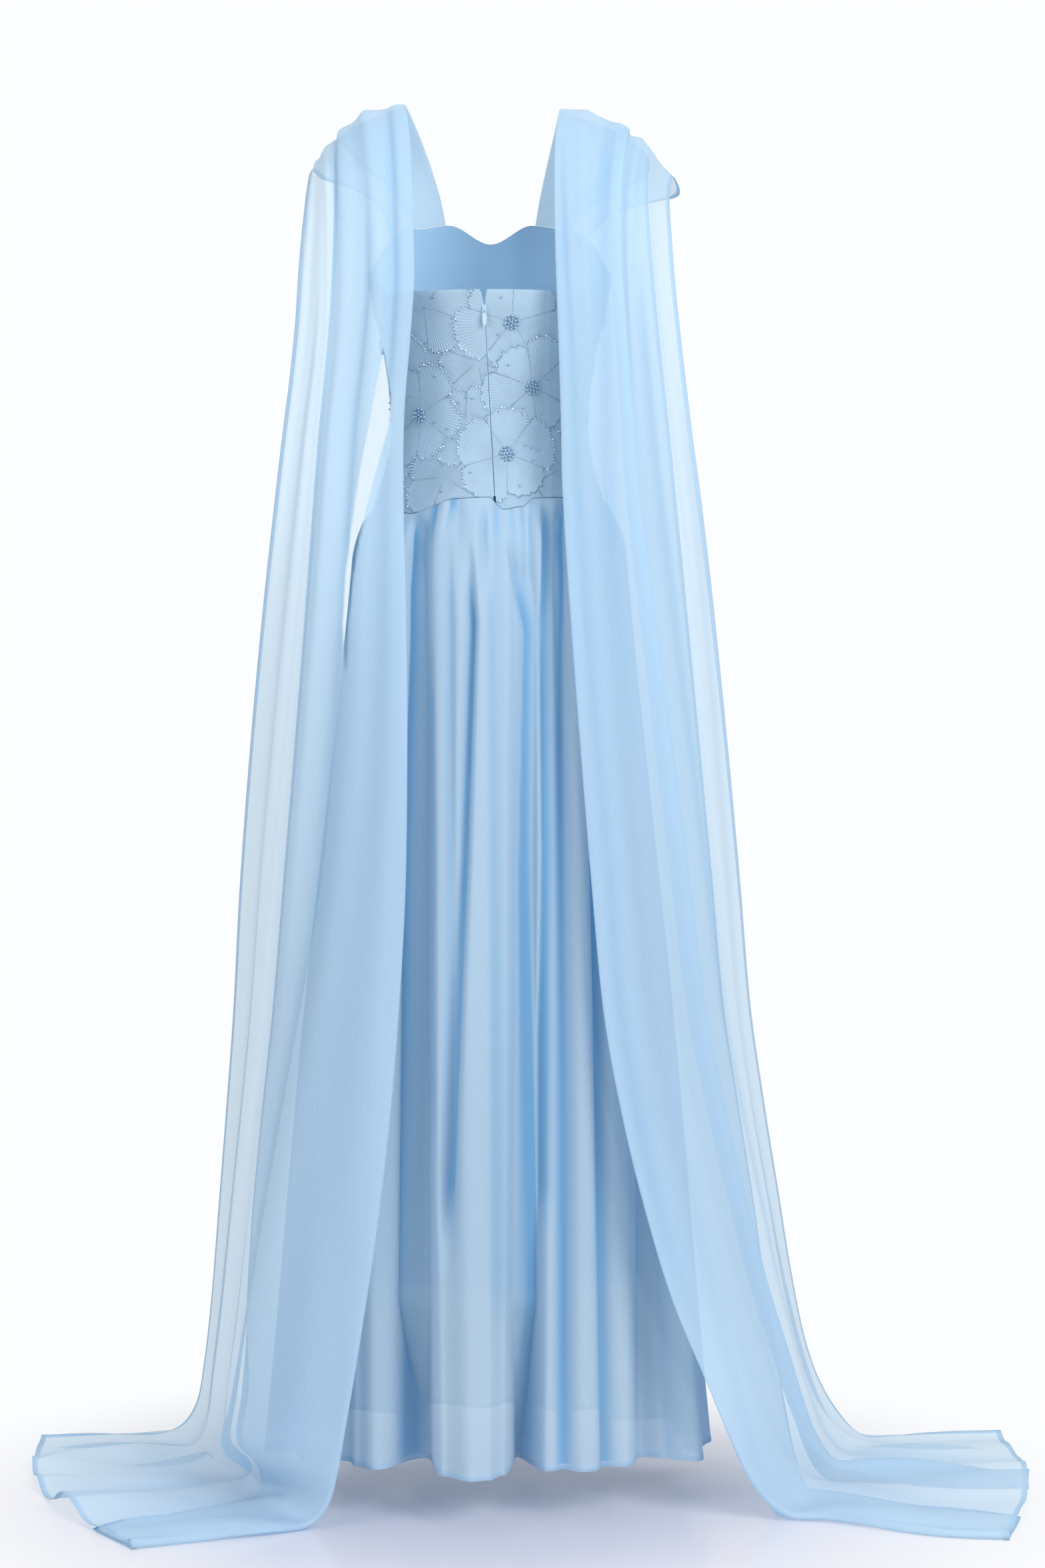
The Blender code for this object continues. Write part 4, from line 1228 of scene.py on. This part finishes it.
def cape_surface(net, side, creases, columns, rows):
    """Fine grid of points through the net, with its creases, and the directions out of it."""
    high, wide = net.shape[0] - 1, net.shape[1] - 1
    station = np.linspace(0, high, rows + 1)
    column = np.linspace(0, wide, columns + 1)
    points = curve_through(net, station)
    points = np.swapaxes(curve_through(np.swapaxes(points, 0, 1), column), 0, 1)
    normal = surface_normals(points) * side
    shift = cape_creases(creases, column[None, :], station[:, None])
    shift = shift + train_ripples(column[None, :], station[:, None])
    shift = shift * ease(station / 1.5)[:, None]
    points = points + normal * shift[..., None]
    lowest = FLOOR + CAPE_WALL / 2 + 0.0002 + 0.0006 * ease((column - 3.5) / 1.5)
    points[..., 2] = np.maximum(points[..., 2], lowest[None, :])
    return points, surface_normals(points) * side


def surface_normals(points):
    """Directions across a grid of points, one at each."""
    along = np.gradient(points, axis=0)
    across = np.gradient(points, axis=1)
    normal = np.cross(across, along)
    return normal / np.maximum(np.linalg.norm(normal, axis=-1, keepdims=True), 1e-9)


def build_cape(name, side, rows, sewn, under, over, creases):
    """One cape panel with its hems."""
    net = cape_net(rows, sewn, under, over)
    points, normal = cape_surface(net, side, creases, 126, 270)
    # The cape's chiffon and hems are lighter copies of the overskirt's chiffon, as painted light
    chiffon = shared("chiffon_sheer", lambda: chiffon_finish("chiffon_sheer", 0.64, 1.12))
    band = shared("chiffon_hem", lambda: chiffon_finish("chiffon_hem", 0.74, 1.10))
    cloth, row, column = grid_object(f"{name}_cloth", points, (0.50, 2.10), chiffon)
    station, across = row / 10.0, column / 9.0
    relief = cape_creases(creases, across, station)
    # Painted shade in the troughs of the cape's creases
    point_values(cloth, "crease_shade", 0.40 * np.clip(-relief / 0.004, 0.0, 1.0))
    if side > 0:
        point_values(cloth, "opening", cape_opening(points[row, column]))
    settle(cloth, [name])
    for end, edge in (("inner", 0), ("outer", -1)):
        inward = 1 if edge == 0 else -1
        line, normals = points[4:, edge], normal[4:, edge]
        toward = points[4:, edge + inward] - line
        toward = toward / np.maximum(np.linalg.norm(toward, axis=-1, keepdims=True), 1e-9)

        def edge_line(_, inset, out, line=line, toward=toward, normals=normals):
            return line + toward * inset + normals * out

        hem = hem_strip(f"{name}_hem_{end}", edge_line, None, 0.0045, 0.00035, band)
        settle(hem)
    line, normals = points[-1], normal[-1]
    toward = points[-2] - points[-1]
    toward = toward / np.linalg.norm(toward, axis=-1, keepdims=True)
    hem = hem_strip(
        f"{name}_hem_foot",
        lambda _, inset, out: line + toward * inset + normals * out,
        None,
        0.0060,
        0.00035,
        band,
    )
    settle(hem)
    return cloth


# Operators


class DRESS_OT_overskirt(bpy.types.Operator):
    """Gathered chiffon overskirt, front and back, with its turned hem"""

    bl_idname = "dress.overskirt"
    bl_label = "Overskirt"

    def execute(self, context):
        chiffon = shared("chiffon_gathered", lambda: chiffon_finish("chiffon_gathered", 0.90))
        # The hem's chiffon is a lighter copy, as painted light
        band = shared("chiffon_hem", lambda: chiffon_finish("chiffon_hem", 0.74, 1.10))
        depth = context.scene.dress_sizes.hem_band
        drop = np.linspace(0, 1, 171)
        share = drop + 0.12 * np.sin(2 * np.pi * drop) / (2 * np.pi) - 0.10 * drop * (1 - drop)
        for name, start, end in (("back", -90.0, 90.0), ("front", 90.0, 270.0)):
            angle = np.linspace(start + 0.05, end - 0.05, 421)
            points, crease_shade = overskirt_relief(angle[None, :], share[:, None])
            cloth, row, column = grid_object(
                f"overskirt_{name}_cloth", points, (1.5, 1.03), chiffon
            )
            # Painted shade in the overskirt's creases
            point_values(cloth, "crease_shade", crease_shade[row, column])
            settle(cloth, [f"overskirt_{name}"])

            def hem_line(angles, inset, out):
                return overskirt_at(angles, 1.0 - inset / (WAIST - HEM), out)

            hem = hem_strip(f"overskirt_{name}_hem", hem_line, angle, depth, 0.0004, band)
            settle(hem)
        return {"FINISHED"}


class DRESS_OT_lining(bpy.types.Operator):
    """Opaque lining skirt, front and back, that shows through the overskirt"""

    bl_idname = "dress.lining"
    bl_label = "Lining"

    def execute(self, context):
        satin = shared("lining_satin", lining_finish)
        share = np.linspace(0, 1, 81)
        for name, start, end in (("back", -90.0, 90.0), ("front", 90.0, 270.0)):
            angle = np.linspace(start + 0.05, end - 0.05, 181)
            points = lining_at(angle[None, :], share[:, None])
            cloth, _, _ = grid_object(f"lining_{name}_cloth", points, (0.46, 0.84), satin)
            settle(cloth, [f"lining_{name}"])

            def hem_line(angles, inset, out):
                return lining_at(angles, 1.0 - inset / (WAIST - LINING_HEM), out)

            hem = hem_strip(f"lining_{name}_hem", hem_line, angle, 0.012, 0.0006, satin)
            settle(hem)
        return {"FINISHED"}


class DRESS_OT_bodice(bpy.types.Operator):
    """The three embroidered bodice panels with their ruched petals"""

    bl_idname = "dress.bodice"
    bl_label = "Bodice"

    def execute(self, context):
        tulle = shared("embroidered_tulle_ruched", tulle_finish)
        satin = shared("lining_satin", lining_finish)
        left = float(straight_down(np.array(90.0), 0.0))
        panels = (
            # name, start, end, zip side, columns, rows, flat width, flat length
            ("bodice_front", left, left + 180.0, 0, 280, 200, 0.47, 0.36),
            ("bodice_back_left", 0.0, left, 1, 176, 208, 0.22, 0.28),
            ("bodice_back_right", left - 180.0, 0.0, -1, 176, 208, 0.22, 0.28),
        )
        for name, start, end, side, columns, rows, wide, long in panels:
            across = np.linspace(0, 1, columns + 1)[None, :]
            share = np.linspace(1, 0, rows + 1)[:, None]
            points, values, shown_rows = bodice_at(start, end, across, share, side)
            cloth, row, column = grid_object(f"{name}_cloth", points, (wide, long), tulle)
            for key, value in zip(("shade", "ruche_phase", "ruche_share"), values):
                point_values(cloth, key, value[row, column])
            cloth.data.materials.append(satin)
            corners = np.zeros(len(cloth.data.loops), int)
            cloth.data.loops.foreach_get("vertex_index", corners)
            lowest = row[corners].reshape(-1, 4).min(axis=1)
            inner = (lowest >= shown_rows).astype(np.int32)
            cloth.data.polygons.foreach_set("material_index", inner)
            settle(cloth, [name])
        return {"FINISHED"}


class DRESS_OT_seed_beads(bpy.types.Operator):
    """Seed beads along the petal edges, and single pearls scattered on the petals"""

    bl_idname = "dress.seed_beads"
    bl_label = "Seed beads and pearls"

    def execute(self, context):
        sizes = context.scene.dress_sizes
        colours = context.scene.dress_colours
        generator = np.random.default_rng(7)
        angle, height, scale = petal_edge_beads(generator, sizes.seed_spacing)
        place, normal = on_bodice(angle, height, sizes.seed_radius * 0.5)
        beads = balls(
            "seed_beads",
            place,
            sizes.seed_radius * scale,
            shared(
                "seed_bead_gloss",
                lambda: smooth_finish("seed_bead_gloss", colours.seed, 0.18, 0.0, 0.8),
            ),
            1,
            0.8,
            normal,
        )
        settle(beads)
        angle = generator.uniform(0, 360, 170)
        height = generator.uniform(1.10, 1.40, 170)
        clear = in_field(angle, height, 0.006)
        for heart_angle, heart in BEAD_CLUSTERS:
            off = ((angle - heart_angle + 180) % 360 - 180) * math.pi / 180 * ARC_RADIUS
            clear &= np.hypot(off, height - heart) > 0.014
        place, normal = on_bodice(angle[clear], height[clear], sizes.pearl_radius * 0.55)
        pearls = balls(
            "single_pearls",
            place,
            np.full(len(place), sizes.pearl_radius * 0.86),
            shared(
                "pearl_gloss", lambda: smooth_finish("pearl_gloss", colours.pearl, 0.22, 0.1, 1.0)
            ),
            2,
            1.0,
            normal,
        )
        settle(pearls)
        return {"FINISHED"}


class DRESS_OT_bead_clusters(bpy.types.Operator):
    """Rings of pearls at the hearts of the flowers"""

    bl_idname = "dress.bead_clusters"
    bl_label = "Bead clusters"

    def execute(self, context):
        sizes = context.scene.dress_sizes
        colours = context.scene.dress_colours
        gloss = shared(
            "pearl_gloss", lambda: smooth_finish("pearl_gloss", colours.pearl, 0.22, 0.1, 1.0)
        )
        rings = ((10, 0.0072, 1.0), (6, 0.0039, 0.95), (1, 0.0, 1.0))
        for number, (angle, height) in enumerate(BEAD_CLUSTERS, 1):
            heart, normal = on_bodice(np.array(float(angle)), np.array(height), 0.0)
            side = np.cross((0.0, 0.0, 1.0), normal)
            side = side / np.linalg.norm(side)
            up = np.cross(normal, side)
            places, radii = [], []
            for count, reach, scale in rings:
                for step in range(count):
                    turn = 2 * math.pi * (step + 0.37 * number) / count
                    jitter = 1.0 + 0.05 * math.sin(step * 5.1 + number)
                    flat = (side * math.cos(turn) + up * math.sin(turn)) * reach * jitter
                    lift = 0.0016 + 0.0006 * math.cos(step * 2.3 + number)
                    places.append(heart + flat + normal * lift)
                    radii.append(sizes.pearl_radius * scale)
            for step in range(16):
                turn = 2 * math.pi * (step + 0.5) / 16
                flat = (side * math.cos(turn) + up * math.sin(turn)) * (0.0056 + 0.002 * (step % 2))
                places.append(heart + flat + normal * 0.0011)
                radii.append(sizes.seed_radius * 0.9)
            name = f"bead_cluster_{number:02d}"
            cluster = balls(f"{name}_pearls", places, radii, gloss, 2)
            settle(cluster, [name])
        return {"FINISHED"}


class DRESS_OT_zip(bpy.types.Operator):
    """The rolled edges of the invisible zip, its slider and its pull"""

    bl_idname = "dress.zip"
    bl_label = "Zip"

    def execute(self, context):
        colours = context.scene.dress_colours
        # The tape is the tulle's colour lightened, as painted light that lifts the shadow along the
        # zip's slot
        tape = shared(
            "zip_tape",
            lambda: smooth_finish(
                "zip_tape", [part * 1.15 for part in colours.tulle], 0.6, sheen=0.1
            ),
        )
        height = np.linspace(ZIP_FOOT + 0.0005, ZIP_TOP + 0.014, 260)
        section = np.linspace(0, math.pi, 7)
        sheets = []
        for side in (-1, 1):
            opened = np.clip((height - ZIP_TOP) / 0.014, 0, 1) * 0.0024
            middle = zip_x(height) + side * (0.0011 + opened)
            half_width = table_at(FIGURE, height)[0]
            ribs = 0.00010 * np.sin(height * 2 * math.pi / 0.0012)
            columns = []
            for turn in section:
                x = middle + side * 0.0008 * math.cos(turn)
                angle = np.degrees(np.arcsin(x / half_width))
                out = -0.0006 + (0.0014 + ribs) * math.sin(turn)
                columns.append(on_outline(FIGURE, height, angle, out))
            points = np.stack(columns, axis=1)
            roll, _, _ = grid_object(
                f"zip_edge_{'left' if side > 0 else 'right'}", points, (0.004, 0.21), tape
            )
            settle(roll, ["zip_coil"])
            sheets.append(roll)
        metal = shared(
            "zip_metal",
            lambda: smooth_finish("zip_metal", colours.zip_metal, 0.28, 0.35, 0.6),
        )
        for name in ("zip_slider", "zip_pull"):
            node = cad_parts[name]
            node.data.materials.clear()
            node.data.materials.append(metal)
            edge = node.modifiers.new("soft_edges", "BEVEL")
            edge.width = 0.00018
            edge.segments = 2
            edge.limit_method = "ANGLE"
        return {"FINISHED"}


class DRESS_OT_capes(bpy.types.Operator):
    """The two long chiffon cape panels with their trains"""

    bl_idname = "dress.capes"
    bl_label = "Cape panels"

    def execute(self, context):
        build_cape(
            "cape_left", 1.0, CAPE_LEFT, CAPE_SEWN_LEFT, UNDER_LEFT, OVER_LEFT, CAPE_CREASES_LEFT
        )
        build_cape(
            "cape_right",
            -1.0,
            CAPE_RIGHT,
            CAPE_SEWN_RIGHT,
            UNDER_RIGHT,
            OVER_RIGHT,
            CAPE_CREASES_RIGHT,
        )
        return {"FINISHED"}


class DRESS_OT_stage(bpy.types.Operator):
    """Pale studio floor, background, soft light and the camera"""

    bl_idname = "dress.stage"
    bl_label = "Stage"

    def execute(self, context):
        stage = context.scene.dress_stage
        scene = context.scene
        bm = bmesh.new()
        bmesh.ops.create_circle(bm, cap_ends=True, segments=96, radius=FLOOR_RADIUS)
        bmesh.ops.translate(bm, vec=(0, 0, FLOOR), verts=bm.verts)
        mesh = bpy.data.meshes.new("studio_floor")
        bm.to_mesh(mesh)
        bm.free()
        floor = bpy.data.objects.new("studio_floor", mesh)
        scene.collection.objects.link(floor)
        made = Finish("studio_floor_painted_shadow")
        where = made.node("ShaderNodeTexCoord", output="Object")
        flat = made.node(
            "ShaderNodeVectorMath", {"operation": "MULTIPLY"}, {0: where, 1: (1.0, 1.0, 0.0)}
        )
        reach = made.node("ShaderNodeVectorMath", {"operation": "LENGTH"}, {0: flat}, "Value")
        # The lavender floor, painted shadow and reflection of the dress, fades out with distance
        # from the middle
        fade = made.node(
            "ShaderNodeMapRange",
            {"interpolation_type": "SMOOTHSTEP"},
            {"Value": reach, "From Min": FLOOR_FADE[0], "From Max": FLOOR_FADE[1]},
        )
        ground = made.node(
            "ShaderNodeBsdfPrincipled",
            None,
            {"Base Color": rgba(stage.floor), "Roughness": 0.24, "Specular IOR Level": 0.4},
        )
        clear = made.node("ShaderNodeBsdfTransparent")
        mesh.materials.append(
            made.surface(made.node("ShaderNodeMixShader", None, {0: fade, 1: ground, 2: clear}))
        )

        world = bpy.data.worlds.new("studio")
        world.use_nodes = True
        scene.world = world
        tree = world.node_tree
        sky = tree.nodes["Background"]
        sky.inputs["Color"].default_value = (0.975, 0.985, 1.0, 1.0)
        path = tree.nodes.new("ShaderNodeLightPath")
        strength = tree.nodes.new("ShaderNodeMapRange")
        strength.inputs["To Min"].default_value = stage.sky_light
        strength.inputs["To Max"].default_value = stage.background
        tree.links.new(path.outputs["Is Camera Ray"], strength.inputs["Value"])
        tree.links.new(strength.outputs["Result"], sky.inputs["Strength"])

        lamps = (
            # name, place, aim, size, power
            ("key", (-2.6, 3.4, 1.6), (0.0, 0.0, -0.1), 2.4, stage.key_power),
            ("fill", (3.0, 3.0, 0.6), (0.0, 0.0, -0.3), 2.6, stage.fill_power * FILL_SHARE),
            ("top", (0.0, -1.0, 3.4), (0.0, 0.0, 0.0), 3.0, stage.fill_power),
            ("spark", (-0.9, 4.2, 0.9), (0.0, 0.0, 0.0), 0.30, stage.fill_power * SPARK_SHARE),
        )
        for name, place, aim, size, power in lamps:
            lamp = bpy.data.lights.new(f"studio_{name}", "AREA")
            lamp.shape = "DISK"
            lamp.size = size
            lamp.energy = power
            thing = bpy.data.objects.new(f"studio_{name}", lamp)
            thing.location = place
            direction = Vector(aim) - Vector(place)
            thing.rotation_euler = direction.to_track_quat("-Z", "Y").to_euler()
            scene.collection.objects.link(thing)

        lens = bpy.data.cameras.new("photo_view")
        lens.lens = LENS
        lens.sensor_width = SENSOR_WIDTH
        lens.shift_y = LENS_SHIFT
        lens.dof.use_dof = False
        camera = bpy.data.objects.new("photo_view", lens)
        camera.location = (*CAMERA_PLACE[:2], CAMERA_PLACE[2] + FLOOR)
        camera.rotation_euler = (math.radians(90.0), 0.0, math.radians(180.0))
        scene.collection.objects.link(camera)
        scene.camera = camera
        scene.view_settings.view_transform = "Standard"
        return {"FINISHED"}


STEPS = (
    DRESS_OT_lining,
    DRESS_OT_overskirt,
    DRESS_OT_bodice,
    DRESS_OT_seed_beads,
    DRESS_OT_bead_clusters,
    DRESS_OT_zip,
    DRESS_OT_capes,
    DRESS_OT_stage,
)


class DRESS_PT_panel(bpy.types.Panel):
    """The pieces of the dress, in the order they are built"""

    bl_idname = "DRESS_PT_panel"
    bl_label = "Embroidered dress"
    bl_space_type = "VIEW_3D"
    bl_region_type = "UI"
    bl_category = "Dress"

    def draw(self, context):
        layout = self.layout
        for step in STEPS:
            layout.operator(step.bl_idname)
        for group in ("dress_sizes", "dress_colours", "dress_stage"):
            settings = getattr(context.scene, group)
            box = layout.box()
            for name in settings.bl_rna.properties.keys():
                if name not in ("rna_type", "name"):
                    box.prop(settings, name)


CLASSES = (DressSizes, DressColours, DressStage, *STEPS, DRESS_PT_panel)


def register():
    for each in CLASSES:
        bpy.utils.register_class(each)
    bpy.types.Scene.dress_sizes = PointerProperty(type=DressSizes)
    bpy.types.Scene.dress_colours = PointerProperty(type=DressColours)
    bpy.types.Scene.dress_stage = PointerProperty(type=DressStage)


def unregister():
    del bpy.types.Scene.dress_stage
    del bpy.types.Scene.dress_colours
    del bpy.types.Scene.dress_sizes
    for each in reversed(CLASSES):
        bpy.utils.unregister_class(each)


def main():
    register()
    bpy.ops.dress.lining()
    bpy.ops.dress.overskirt()
    bpy.ops.dress.bodice()
    bpy.ops.dress.seed_beads()
    bpy.ops.dress.bead_clusters()
    bpy.ops.dress.zip()
    bpy.ops.dress.capes()
    bpy.ops.dress.stage()


if __name__ == "__main__":
    main()
